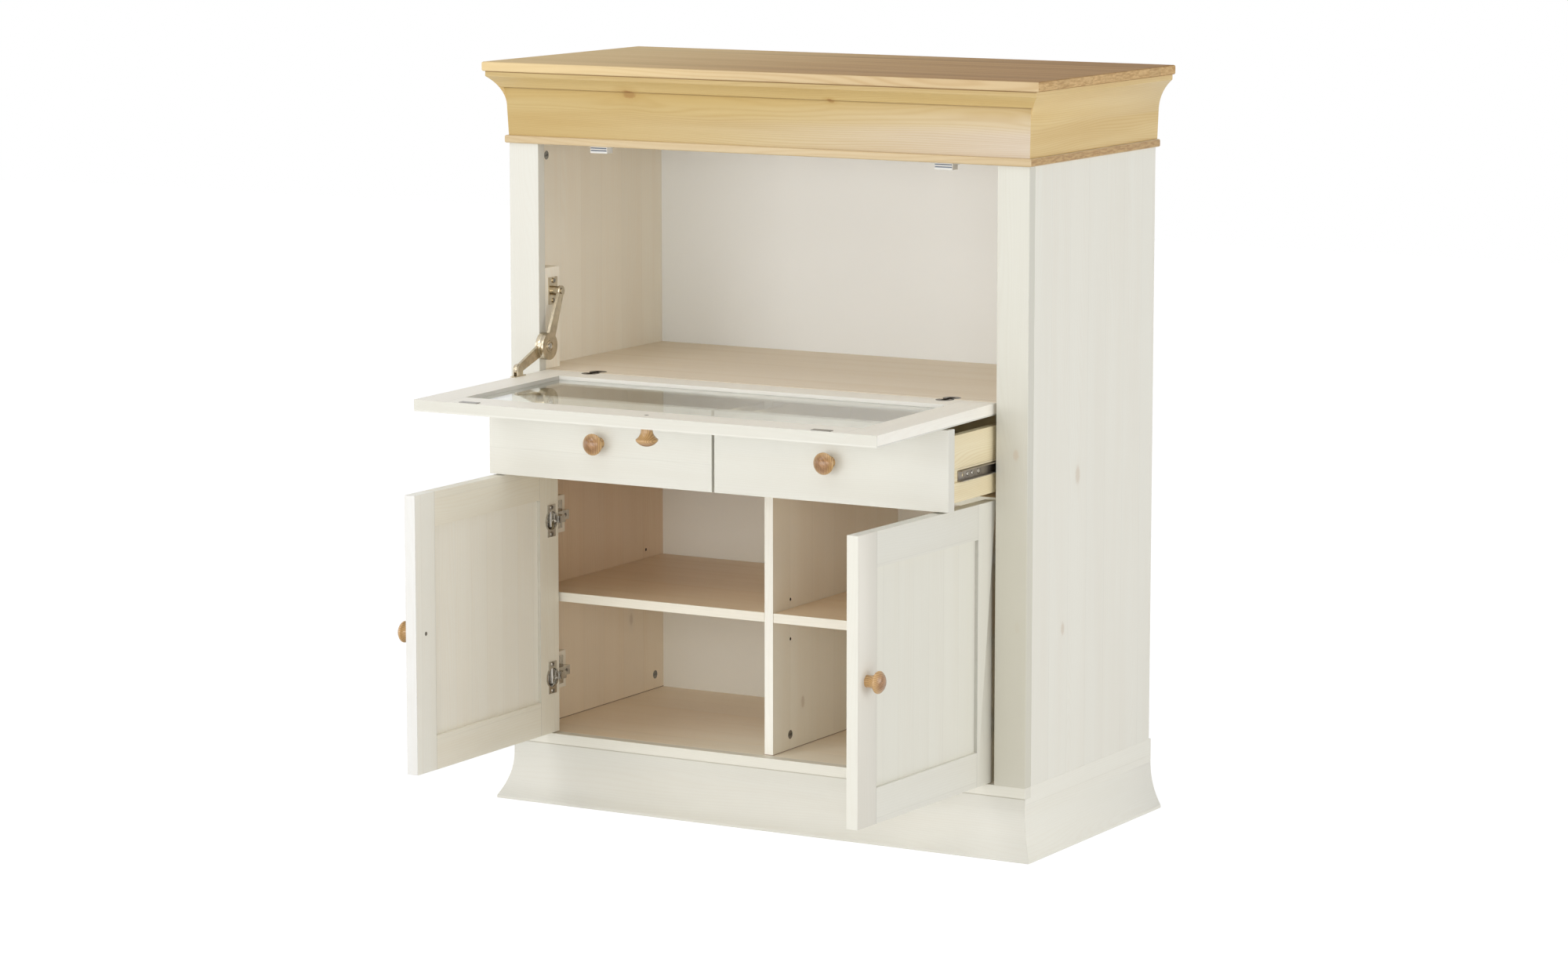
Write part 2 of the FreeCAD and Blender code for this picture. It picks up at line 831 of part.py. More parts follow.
def hinge_cup(height):
    """Hinge cup with its screw flange and a knuckle pin, drawn closed."""
    inner_face = front + door_thickness
    start = point(-hinge_cup_x, hinge_cup_floor, height)
    bowl = rod(hinge_cup_diameter, start, Y_AXIS, hinge_cup_depth)
    half_width_of_flange = hinge_flange_width / 2
    flange = block(-hinge_cup_x - half_width_of_flange, -hinge_cup_x + half_width_of_flange,
                   inner_face, inner_face + hinge_flange_thickness,
                   height - hinge_flange_height / 2, height + hinge_flange_height / 2)
    rim = rod(hinge_cup_diameter + hinge_flange_thickness, point(-hinge_cup_x, inner_face, height),
              Y_AXIS, hinge_flange_thickness)
    screws = []
    for side in (-1, 1):
        level = height + side * (hinge_flange_height / 2 - hinge_screw_diameter / 2 - hinge_screw_head)
        base = point(-hinge_cup_x, inner_face + hinge_flange_thickness, level)
        screws.append(rod(hinge_screw_diameter, base, Y_AXIS, hinge_screw_head))
    hollow = rod(hinge_cup_diameter - hinge_cup_wall * 2,
                 point(-hinge_cup_x, hinge_cup_floor + hinge_cup_wall, height), Y_AXIS,
                 hinge_cup_depth + overrun)
    shell = fused([bowl, flange, rim] + screws).cut(hollow)
    knuckle_x = -door_axis_x + hinge_cup_wall
    knuckle = rod(hinge_knuckle_diameter,
                  point(knuckle_x, hinge_cup_floor + hinge_cup_wall + hinge_knuckle_rise,
                        height - hinge_cup_diameter), Z_AXIS, hinge_cup_diameter * 2)
    return fused([shell, knuckle.common(bowl)])


def door_frame():
    """Left door, drawn closed: two stiles and two rails, grooved for the panel."""
    inner_edge = door_centre_gap
    low, high = door_bottom, door_top
    y0, y1 = front, front + door_thickness
    hinge_side = block(-door_edge, -door_edge + door_stile_width, y0, y1, low, high)
    free_side = block(-inner_edge - door_stile_width, -inner_edge, y0, y1, low, high)
    rail_x0, rail_x1 = -door_edge + door_stile_width, -inner_edge - door_stile_width
    bottom_rail = block(rail_x0, rail_x1, y0, y1, low, low + door_rail_width)
    top_rail = block(rail_x0, rail_x1, y0, y1, high - door_rail_width, high)
    groove = panel_space(door_panel_play)
    bores = [hinge_cup_bore(height) for height in hinge_heights]
    members = [hinge_side.cut(bores + [groove]), free_side.cut(groove), bottom_rail.cut(groove),
               top_rail.cut(groove)]
    return members


def panel_space(play):
    """Space of the door panel in its groove, larger by the play at its edges."""
    reach = door_panel_tongue + play
    y0 = front + door_panel_recess
    return block(-door_edge + door_stile_width - reach, -door_centre_gap - door_stile_width + reach,
                 y0, y0 + door_panel_thickness, door_bottom + door_rail_width - reach,
                 door_top - door_rail_width + reach)


def door_panel():
    """Left door panel, drawn closed, let into the frame."""
    return panel_space(0)


def knob(seat, outward):
    """Turned wooden knob on a seat point, standing along a vector."""
    base = knob_base_diameter / 2
    neck = knob_neck_diameter / 2
    head = knob_diameter / 2
    rim_low = knob_length - knob_dome_height - knob_rim_height
    rim_high = knob_length - knob_dome_height
    neck_height = rim_low / 2
    axis_top = point(0, 0, knob_length)
    lower = Part.Arc(point(base, 0, 0), point(neck, 0, neck_height), point(head, 0, rim_low)).toShape()
    middle = (rim_low + rim_high) / 2
    bulge = head + knob_rim_height * knob_bulge_share
    rim = Part.Arc(point(head, 0, rim_low), point(bulge, 0, middle), point(head, 0, rim_high)).toShape()
    ball = (head * head + knob_dome_height * knob_dome_height) / (knob_dome_height * 2)
    side_way = head / 2
    dome_middle = point(side_way, 0, knob_length - ball + math.sqrt(ball * ball - side_way * side_way))
    dome = Part.Arc(point(head, 0, rim_high), dome_middle, axis_top).toShape()
    axis_line = Part.LineSegment(axis_top, ORIGIN).toShape()
    foot = Part.LineSegment(ORIGIN, point(base, 0, 0)).toShape()
    face = Part.Face(Part.Wire([foot, lower, rim, dome, axis_line]))
    solid = face.revolve(ORIGIN, Z_AXIS, full_turn)
    solid.Placement = FreeCAD.Placement(seat, FreeCAD.Rotation(Z_AXIS, outward))
    return solid


def door_knob():
    """Left door's knob, drawn closed, in the middle of its free stile."""
    seat = point(-door_centre_gap - door_stile_width / 2, front, knob_seat_height)
    return knob(seat, Y_AXIS * -1)


def drawer_front_board():
    """Left drawer's front, drawn closed."""
    return block(-drawer_outer_edge, -drawer_centre_gap, front, drawer_box_front,
                 drawer_front_bottom, drawer_front_top)


def slide_groove(face, inward):
    """Groove in a drawer side for its half of the slide, open towards the face."""
    x0, x1 = sorted((face - inward * overrun, face + inward * slide_groove_depth))
    return block(x0, x1, drawer_box_front - overrun, drawer_box_back + overrun,
                 slide_bottom - slide_groove_play, slide_top + slide_groove_play)


def drawer_bottom_space():
    """Thin bottom of the left drawer, reaching into grooves on three sides."""
    low = drawer_box_bottom + drawer_bottom_rise
    reach = drawer_side_thickness - drawer_bottom_groove
    return block(-drawer_outer_face + reach, -drawer_inner_face - reach,
                 drawer_box_front, drawer_box_back, low, low + drawer_bottom_thickness)


def drawer_box():
    """Left drawer's two sides and back, drawn closed."""
    bottom = drawer_bottom_space()
    outer_side = block(-drawer_outer_face, -drawer_outer_face + drawer_side_thickness,
                       drawer_box_front, drawer_box_back, drawer_box_bottom, drawer_box_top)
    inner_side = block(-drawer_inner_face - drawer_side_thickness, -drawer_inner_face,
                       drawer_box_front, drawer_box_back, drawer_box_bottom, drawer_box_top)
    rear = block(-drawer_outer_face + drawer_side_thickness, -drawer_inner_face - drawer_side_thickness,
                 drawer_box_back - drawer_side_thickness, drawer_box_back,
                 drawer_box_bottom + drawer_bottom_rise + drawer_bottom_thickness, drawer_box_top)
    outer_side = outer_side.cut([bottom, slide_groove(-drawer_outer_face, 1)])
    inner_side = inner_side.cut([bottom, slide_groove(-drawer_inner_face, -1)])
    return [outer_side, inner_side, rear]


def slide_profile(seat, outward):
    """Moving half of a slide: a channel in the drawer's groove, open outward, with holes."""
    start = slide_front
    end = start + slide_length
    x0, x1 = sorted((seat, seat + outward * slide_thickness))
    outer = block(x0, x1, start, end, slide_bottom, slide_top)
    c0, c1 = sorted((seat + outward * slide_wall, seat + outward * (slide_thickness + overrun)))
    channel = block(c0, c1, start - overrun, end + overrun, slide_bottom + slide_wall,
                    slide_top - slide_wall)
    holes = []
    for index in range(slide_hole_count):
        place = start + slide_hole_pitch * (index + 1) / 2
        holes.append(rod(slide_hole_diameter, point(seat - outward * overrun, place, slide_middle),
                         X_AXIS * outward, overrun * 2))
    return outer.cut([channel] + holes)


def drawer_slides():
    """The two moving slide halves of the left drawer, drawn closed."""
    outer = slide_profile(-drawer_outer_face + slide_groove_depth, -1)
    inner = slide_profile(-drawer_inner_face - slide_groove_depth, 1)
    return [outer, inner]


def drawer_knob():
    """Left drawer's knob, in the middle of its front, drawn closed."""
    middle = -(drawer_outer_edge + drawer_centre_gap) / 2
    height = (drawer_front_bottom + drawer_front_top) / 2
    return knob(point(middle, front, height), Y_AXIS * -1)


def flap_blank():
    """The flap as one board, level, with its root edge rounded."""
    board = block(-flap_half_width, flap_half_width, flap_end, flap_root, flap_bottom, worktop_top)
    root = [edge for edge in board.Edges if edge_lies(edge, "y", flap_root) and edge_runs(edge, "x")]
    return board.makeFillet(flap_edge_round, root)


def glass_space():
    """The glass in its groove, level."""
    half = flap_half_width - flap_frame_width + glass_seat
    top = worktop_top - glass_recess
    return block(-half, half, flap_end + flap_frame_width - glass_seat,
                 flap_root - flap_frame_width + glass_seat, top - glass_thickness, top)


def flap_frame():
    """Two stiles and two rails of the flap, level, grooved for the glass."""
    blank = flap_blank()
    inner = flap_half_width - flap_frame_width
    low, high = flap_bottom - overrun, worktop_top + overrun
    y0, y1 = flap_end - overrun, flap_root + overrun
    left = block(-flap_half_width - overrun, -inner, y0, y1, low, high)
    front_zone = block(-inner, inner, y0, flap_end + flap_frame_width, low, high)
    root_zone = block(-inner, inner, flap_root - flap_frame_width, y1, low, high)
    bore = flap_cup_tool(-1, worktop_top, flap_root)
    cuts = [glass_space(), bore, mirrored(bore)]
    members = [blank.common(zone).cut(cuts) for zone in (left, front_zone, root_zone)]
    return members + [mirrored(members[0])]


def flap_knob():
    """Knob on the outer face of the flap, near its free edge, level."""
    return knob(point(0, flap_end + flap_knob_inset, flap_bottom), Z_AXIS * -1)


def flap_hinge_cups():
    """Flap halves of the two flap hinges, level."""
    cup = hinge_cup_from(flap_blank(), -1, worktop_top, flap_root)
    return [cup, mirrored(cup)]


def worktop_hinge_cups():
    """Worktop halves of the two flap hinges."""
    cup = hinge_cup_from(worktop_blank(), 1, worktop_top, worktop_front)
    return [cup, mirrored(cup)]


def flap_strike_plates():
    """Steel plates for the catches on the inner face of the flap, level."""
    middle = flap_end + strike_from_edge
    plate = block(catch_offset - strike_width / 2, catch_offset + strike_width / 2,
                  middle - strike_height / 2, middle + strike_height / 2,
                  worktop_top, worktop_top + strike_thickness)
    return [plate, mirrored(plate)]


def sagged(shape):
    """A level flap piece, let down to the small sag of the open flap."""
    return turned_about(shape, point(0, flap_axis_y, flap_axis_z), X_AXIS, flap_sag_angle)


# The flap stay, in planes across the cabinet; x layers count from the wall face inward
stay_flap_pin_level = point(0, flap_root - stay_flap_pin_distance, worktop_top + stay_flap_pin_rise)
lower_x0 = -stay_wall_face + stay_plate_thickness + stay_side_gap + stay_ear_thickness
lower_x1 = lower_x0 + stay_lower_hub_thickness
upper_x0 = lower_x1 + stay_layer_gap
upper_x1 = upper_x0 + stay_hub_thickness
lower_arm_x0 = lower_x0 + (stay_lower_hub_thickness - stay_arm_thickness) / 2
upper_arm_x0 = upper_x0 + (stay_hub_thickness - stay_arm_thickness) / 2
stay_bore = stay_pin_diameter + stay_pin_play * 2


def stay_points():
    """Wall pin, hub and flap pin at rest, as points in the middle plane."""
    flap_pin = stay_flap_pin_level
    turn = FreeCAD.Rotation(X_AXIS, flap_sag_angle)
    axis = point(0, flap_axis_y, flap_axis_z)
    flap_pin = axis + turn.multVec(flap_pin - axis)
    wall_pin = point(0, stay_wall_y, stay_wall_pin_height)
    hub = point(0, stay_hub_y, stay_hub_height)
    return wall_pin, hub, flap_pin


def tapered_arm(x0, thickness, eye, hub, eye_width, hub_width):
    """A flat arm between two points of one plane, wider at the hub."""
    along = hub - eye
    along.normalize()
    across = point(0, -along.z, along.y)
    corners = [eye + across * (eye_width / 2), hub + across * (hub_width / 2),
               hub - across * (hub_width / 2), eye - across * (eye_width / 2)]
    shift = point(x0, 0, 0)
    return prism([corner + shift for corner in corners], X_AXIS * thickness)


def disc(x0, thickness, centre, diameter):
    """A disc across the cabinet, about a point of the middle plane."""
    return rod(diameter, centre + point(x0, 0, 0), X_AXIS, thickness)


def stay_upper_arm():
    """Upper arm with the round hub cover, hung on the wall pin."""
    wall_pin, hub, flap_pin = stay_points()
    arm = tapered_arm(upper_arm_x0, stay_arm_thickness, wall_pin, hub, stay_arm_narrow, stay_arm_wide)
    eye = disc(upper_arm_x0, stay_arm_thickness, wall_pin, stay_eye_diameter)
    cover = disc(upper_x0, stay_hub_thickness, hub, stay_hub_diameter)
    ring = disc(upper_x1, stay_ring_height, hub, stay_ring_diameter)
    ring_hole = disc(upper_x1, stay_ring_height + overrun, hub, stay_ring_diameter - stay_ring_wall * 2)
    bore = disc(upper_x0 - overrun, stay_hub_thickness + overrun * 2, wall_pin, stay_bore)
    return fused([arm, eye, cover, ring.cut(ring_hole)]).cut(bore)


def stay_lower_arm():
    """Lower arm with the hub's other half, on the flap's pin."""
    wall_pin, hub, flap_pin = stay_points()
    arm = tapered_arm(lower_arm_x0, stay_arm_thickness, flap_pin, hub, stay_arm_narrow, stay_arm_wide)
    eye = disc(lower_arm_x0, stay_arm_thickness, flap_pin, stay_eye_diameter)
    cover = disc(lower_x0, stay_lower_hub_thickness, hub, stay_hub_diameter)
    bore = disc(lower_x0 - overrun, stay_lower_hub_thickness + overrun * 2, flap_pin, stay_bore)
    return fused([arm, eye, cover]).cut(bore)


def stay_wall_bracket():
    """Plate on the packer with a boss and the pin that the upper arm hangs on."""
    wall_pin, hub, flap_pin = stay_points()
    wall = -stay_wall_face
    plate = block(wall, wall + stay_plate_thickness, wall_pin.y - stay_plate_width / 2,
                  wall_pin.y + stay_plate_width / 2, wall_pin.z - stay_plate_height / 2,
                  wall_pin.z + stay_plate_height / 2)
    boss_end = upper_arm_x0 - stay_layer_gap
    boss = disc(wall, boss_end - wall, wall_pin, stay_boss_diameter)
    pin_end = upper_arm_x0 + stay_arm_thickness + stay_layer_gap
    pin = disc(wall, pin_end - wall, wall_pin, stay_pin_diameter)
    head = disc(pin_end, stay_pin_head_thickness, wall_pin, stay_pin_head_diameter)
    screws = []
    for side in (-1, 1):
        offset = side * (stay_plate_height / 2 - stay_screw_diameter / 2 - stay_plate_thickness)
        centre = wall_pin + point(0, 0, offset)
        screws.append(disc(wall + stay_plate_thickness, stay_screw_head, centre, stay_screw_diameter))
    return fused([plate, boss, pin, head] + screws)


def stay_flap_bracket():
    """Bracket on the flap, level: a foot, two ears and the pin of the lower arm."""
    centre = stay_flap_pin_level
    half_foot = stay_foot_length / 2
    ear_gap = stay_side_gap
    ear_a0 = lower_arm_x0 - ear_gap - stay_ear_thickness
    ear_b0 = lower_arm_x0 + stay_arm_thickness + ear_gap
    foot = block(ear_a0, ear_b0 + stay_ear_thickness, centre.y - half_foot, centre.y + half_foot,
                 worktop_top, worktop_top + stay_foot_thickness)
    ears = []
    for x0 in (ear_a0, ear_b0):
        round_end = disc(x0, stay_ear_thickness, centre, stay_eye_diameter - stay_foot_thickness)
        half_ear = (stay_eye_diameter - stay_foot_thickness) / 2
        stem = block(x0, x0 + stay_ear_thickness, centre.y - half_ear, centre.y + half_ear,
                     worktop_top, centre.z)
        ears += [round_end, stem]
    pin_length = ear_b0 + stay_ear_thickness - ear_a0
    pin = disc(ear_a0, pin_length, centre, stay_pin_diameter)
    return fused([foot, pin] + ears)


def opened(shape, angle):
    """A left door piece, drawn closed, swung open about its hinge axis."""
    return turned_about(shape, point(-door_axis_x, door_axis_y, 0), Z_AXIS, -angle)


def pulled(shape):
    """A drawer piece, drawn closed, pulled out as photographed."""
    copy = shape.copy()
    copy.translate(point(0, -drawer_pulled_out, 0))
    return copy


def carcass_nodes():
    """Every fixed piece of the cabinet by name."""
    left = {"side_panel": side_panel(), "face_stile": face_stile(), "shelf": shelf(),
            "crown": crown_side(), "plinth": plinth_side()}
    nodes = {}
    for name, shape in left.items():
        nodes[name + "_left"] = [shape]
        nodes[name + "_right"] = [mirrored(shape)]
    nodes.update({
        "bottom_panel": [bottom_panel()], "lower_front_rail": [lower_front_rail()],
        "centre_divider": [centre_divider()], "shelf_pins": shelf_pins(),
        "connector_housings": connectors(), "drawer_deck": [drawer_deck()],
        "drawer_partition": [drawer_partition()], "worktop": [worktop()],
        "crown_base_board": [crown_base_board()], "back_panel": [back_panel()],
        "crown_front": [crown_front()],
        "crown_inner_blocks": crown_inner_blocks(), "top_board": [top_board()],
        "plinth_front": [plinth_front()], "plinth_inner_rails": plinth_inner_rails(),
        "mounting_blocks": mounting_blocks(), "runner_blocks": runner_blocks(),
        "drawer_runners": drawer_runners(), "magnetic_catches": magnetic_catches(),
        "door_hinge_arms": door_hinge_arms(), "worktop_hinge_cups": worktop_hinge_cups(),
        "stay_wall_bracket": [stay_wall_bracket()]})
    return nodes


def flap_nodes():
    """The flap's pieces by name, at the sag of the open flap, and the two stay arms."""
    level = {"flap_frame": flap_frame(), "flap_glass": [glass_space()], "flap_knob": [flap_knob()],
             "flap_hinge_cups": flap_hinge_cups(), "flap_strike_plates": flap_strike_plates(),
             "stay_flap_bracket": [stay_flap_bracket()]}
    nodes = {name: [sagged(shape) for shape in shapes] for name, shapes in level.items()}
    nodes["stay_upper_arm"] = [stay_upper_arm()]
    nodes["stay_lower_arm"] = [stay_lower_arm()]
    return nodes


def door_nodes():
    """Both doors by name, each swung open by its own angle."""
    cups = [hinge_cup(height) for height in hinge_heights]
    closed = {"frame": door_frame(), "panel": [door_panel()], "knob": [door_knob()], "hinge_cups": cups}
    nodes = {}
    for name, shapes in closed.items():
        nodes["door_left_" + name] = [opened(shape, door_left_open_angle) for shape in shapes]
        nodes["door_right_" + name] = [mirrored(opened(shape, door_right_open_angle)) for shape in shapes]
    return nodes


def drawer_nodes():
    """Both drawers by name, pulled out."""
    closed = {"front": [drawer_front_board()], "box": drawer_box(), "bottom": [drawer_bottom_space()],
              "slides": drawer_slides(), "knob": [drawer_knob()]}
    nodes = {}
    for name, shapes in closed.items():
        out = [pulled(shape) for shape in shapes]
        nodes["drawer_left_" + name] = out
        nodes["drawer_right_" + name] = [mirrored(shape) for shape in out]
    return nodes


def print_joints():
    """The joint axes in millimetres and the stay's turns, for the record."""
    wall_pin, hub, flap_pin = stay_points()
    axis = point(0, flap_axis_y, flap_axis_z)
    closing = flap_closing_angle + flap_sag_angle
    closed_pin = axis + FreeCAD.Rotation(X_AXIS, -closing).multVec(flap_pin - axis)
    upper = (hub - wall_pin).Length
    lower = (hub - flap_pin).Length
    reach = closed_pin - wall_pin
    span = reach.Length
    along = (upper * upper - lower * lower + span * span) / (span * 2)
    across = math.sqrt(upper * upper - along * along)
    unit = reach / span
    side = point(0, -unit.z, unit.y)
    closed_hub = wall_pin + unit * along + side * across

    def bearing(vector):
        return math.degrees(math.atan2(vector.z, vector.y))

    upper_turn = bearing(closed_hub - wall_pin) - bearing(hub - wall_pin)
    lower_turn = bearing(closed_hub - closed_pin) - bearing(hub - flap_pin) + closing
    print("flap axis", axis, "closing", closing)
    print("door axis x", door_axis_x, "y", door_axis_y)
    print("wall pin", wall_pin, "hub", hub, "flap pin", flap_pin)
    print("closed hub", closed_hub, "closed flap pin", closed_pin)
    print("upper turn", upper_turn, "ratio", upper_turn / closing)
    print("lower turn", lower_turn, "ratio", lower_turn / closing)
    print("worktop front", worktop_front, "flap end", flap_end)


def main():
    os.makedirs("parts", exist_ok=True)
    nodes = {}
    for group in (carcass_nodes(), flap_nodes(), door_nodes(), drawer_nodes()):
        nodes.update(group)
    for name, shapes in nodes.items():
        solids = [solid for shape in shapes for solid in shape.Solids]
        whole = solids[0] if len(solids) == 1 else Part.makeCompound(solids)
        if not whole.isValid() or len(solids) != len(shapes):
            print("check", name, "solids", len(solids), "of", len(shapes), "valid", whole.isValid())
        whole.exportStep("parts/" + name + ".step")
    print(len(nodes), "nodes")
    print_joints()


main()
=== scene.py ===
import math

import bmesh
import bpy
from mathutils import Matrix, Vector


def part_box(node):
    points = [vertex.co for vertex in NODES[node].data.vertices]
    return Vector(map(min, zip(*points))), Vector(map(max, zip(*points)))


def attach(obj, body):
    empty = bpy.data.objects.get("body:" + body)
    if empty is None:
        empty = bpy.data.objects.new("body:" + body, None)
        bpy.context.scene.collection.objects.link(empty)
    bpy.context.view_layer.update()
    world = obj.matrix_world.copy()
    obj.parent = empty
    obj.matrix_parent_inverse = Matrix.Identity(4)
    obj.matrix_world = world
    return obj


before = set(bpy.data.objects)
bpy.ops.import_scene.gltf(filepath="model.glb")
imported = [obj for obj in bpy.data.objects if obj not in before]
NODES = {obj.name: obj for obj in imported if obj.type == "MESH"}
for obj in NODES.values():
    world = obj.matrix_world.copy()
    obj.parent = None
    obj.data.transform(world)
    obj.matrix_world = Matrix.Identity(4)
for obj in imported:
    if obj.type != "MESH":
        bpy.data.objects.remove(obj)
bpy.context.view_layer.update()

scene = bpy.context.scene

# Camera: place in metres, lens in millimetres, angles in degrees
CAMERA_PLACE = (3.9901, -7.0988, 1.7711)
CAMERA_LENS = 111.79
CAMERA_PITCH = 8.479
CAMERA_TURN = 29.889

# Measures of the cabinet that colours and small pieces follow, in metres and degrees
DOOR_AXIS = (0.423, -0.2255)  # x and y of the right door's hinge, the left one mirrors it
DOOR_OVERHANG = 0.009  # the door's outer edge lies this far beyond its axis
DOOR_WIDTH = 0.4305
DOOR_BORDER = 0.057  # width of a stile or rail
DOOR_KNOB_HEIGHT = 0.35175
HINGE_HEIGHTS = (0.217, 0.4865)
LEFT_DOOR_ANGLE = 90
RIGHT_DOOR_ANGLE = 88
LEFT_STILE = 0.590  # where the free stile of the open left door begins, in front of the origin
LEFT_FREE_EDGE = 0.6462  # just behind its free edge, in front of the origin
LEFT_OUTSIDE = 0.4265  # just inside its outer face, from the middle
PANEL_MIDDLE = 0.4175  # between the faces of its panel, from the middle
RIGHT_STILE = 0.5755  # the same for the right door, along the open door
RIGHT_FREE_EDGE = 0.6318
FLAP_AXIS = (0, -0.22335, 0.73015)
FLAP_SAG = 0.75
FLAP_BORDER = 0.368  # half the width between the flap's stiles
FLAP_FREE_EDGE = 0.6148  # just behind that edge of the lowered flap, in front of the origin
TOP_FRONT = 0.2625  # just behind the front edge of the top board, in front of the origin
BOARD_FRONT = -0.2068  # just behind the front edges of shelves, deck, divider and partition
WALL_FACE = 0.480  # between the inner and outer faces of the walls
WORKTOP_MIDDLE = 0.73
WORKTOP_SKIN = 0.7385  # just below the worktop's upper face
DECK_TOP = 0.585
SHELF_MIDDLE = 0.35
SHELF_SKIN = 0.3585  # just below the shelves' upper faces
SHELF_UNDERSIDE = 0.34
CROWN_CREASE = 1.2166
CROWN_LIP = 1.2352

# Marks in the colour of walls and divider
FLOOR_JOINT = 0.1186
FLOOR_JOINT_HALF = 0.0008
FLOOR_MIDDLE = 0.23
FLOOR_HALF = 0.2396
PIN_PLACES = (-0.149, 0.168)
PIN_HEIGHTS = (0.307, 0.374)
PIN_RADIUS = 0.0027
SEAM_INNER, SEAM_OUTER = 0.0001, 0.0006

# Edges of the meshes
BEVEL_ANGLE = 40
SHARP_ANGLE = 32
BOARD_EDGE = 0.0008
METAL_EDGE = 0.0004
WELD_DISTANCE = 0.000005

# Screws and nails: places and steps in metres, radius and height of each kind of head
CUP_SCREW = (0.0034, 0.0005)
CUP_SCREW_PLACE = (0.410, -0.2076)
CUP_SCREW_STEP = 0.0227
DOOR_KNOB_SCREW = (0.0034, 0.0007)
DOOR_KNOB_PLACE = (0.030, -0.210)
DRAWER_KNOB_SCREW = (0.0036, 0.0007)
DRAWER_KNOB_PLACE = (0.21725, -0.368, 0.65075)
SLIDE_FACES = (0.4252, 0.0178)
SLIDE_START, SLIDE_HEIGHT = -0.343, 0.6375
SLIDE_SCREWS = ((0.032, 0.0034), (0.048, 0.0034), (0.070, 0.0045))  # place along the slide, radius
SLIDE_SCREW_HEIGHT = 0.0012
ARM_SCREW = (0.0034, 0.0005)
ARM_SCREW_PLACE = (0.4312, -0.1819)
ARM_SCREW_STEP = 0.016
ARM_ADJUSTER = (0.0032, 0.0006)
ARM_ADJUSTER_FACE = 0.421
ARM_ADJUSTER_PLACES = (-0.193, -0.172)
CATCH_SCREW = (0.0027, 0.0008)
CATCH_EARS = (0.3053, 0.3467)
CATCH_SEAT = (-0.199, 1.120)
BRACKET_SCREW = (0.0036, 0.0006)
BRACKET_PLACE = (-0.4302, -0.188)
BRACKET_HEIGHTS = (0.855, 0.889)
HUB_SCREW = (0.0052, 0.0009)
HUB_PLACE = (-0.4143, -0.227, 0.782)
FLAP_KNOB_SCREW = (0.0034, 0.0005)
FLAP_KNOB_PLACE = (0, -0.5925, 0.7405)
NAIL = ((0.0022, 0.0), (0.0022, 0.0002), (0.0014, 0.0005))  # rings of radius and height
NAIL_INSET = 0.006
NAIL_GAPS = (12, 14)  # along the width and up the height
NAIL_SIDES = 12


def box_of(node):
    """Lowest and highest corner of a CAD node."""
    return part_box(node)


# Camera
def make_camera():
    data = bpy.data.cameras.new("camera")
    data.sensor_width = 36.0
    data.lens = CAMERA_LENS
    data.clip_start = 0.1
    data.clip_end = 60.0
    cam = bpy.data.objects.new("camera", data)
    scene.collection.objects.link(cam)
    cam.location = CAMERA_PLACE
    cam.rotation_euler = (math.radians(90 - CAMERA_PITCH), 0, math.radians(CAMERA_TURN))
    scene.camera = cam


# Colour and shader helpers
def lin(r, g, b):
    """Linear colour of an 8-bit display colour."""
    out = []
    for c in (r, g, b):
        c = c / 255
        out.append(c / 12.92 if c <= 0.04045 else ((c + 0.055) / 1.055) ** 2.4)
    return (out[0], out[1], out[2], 1.0)


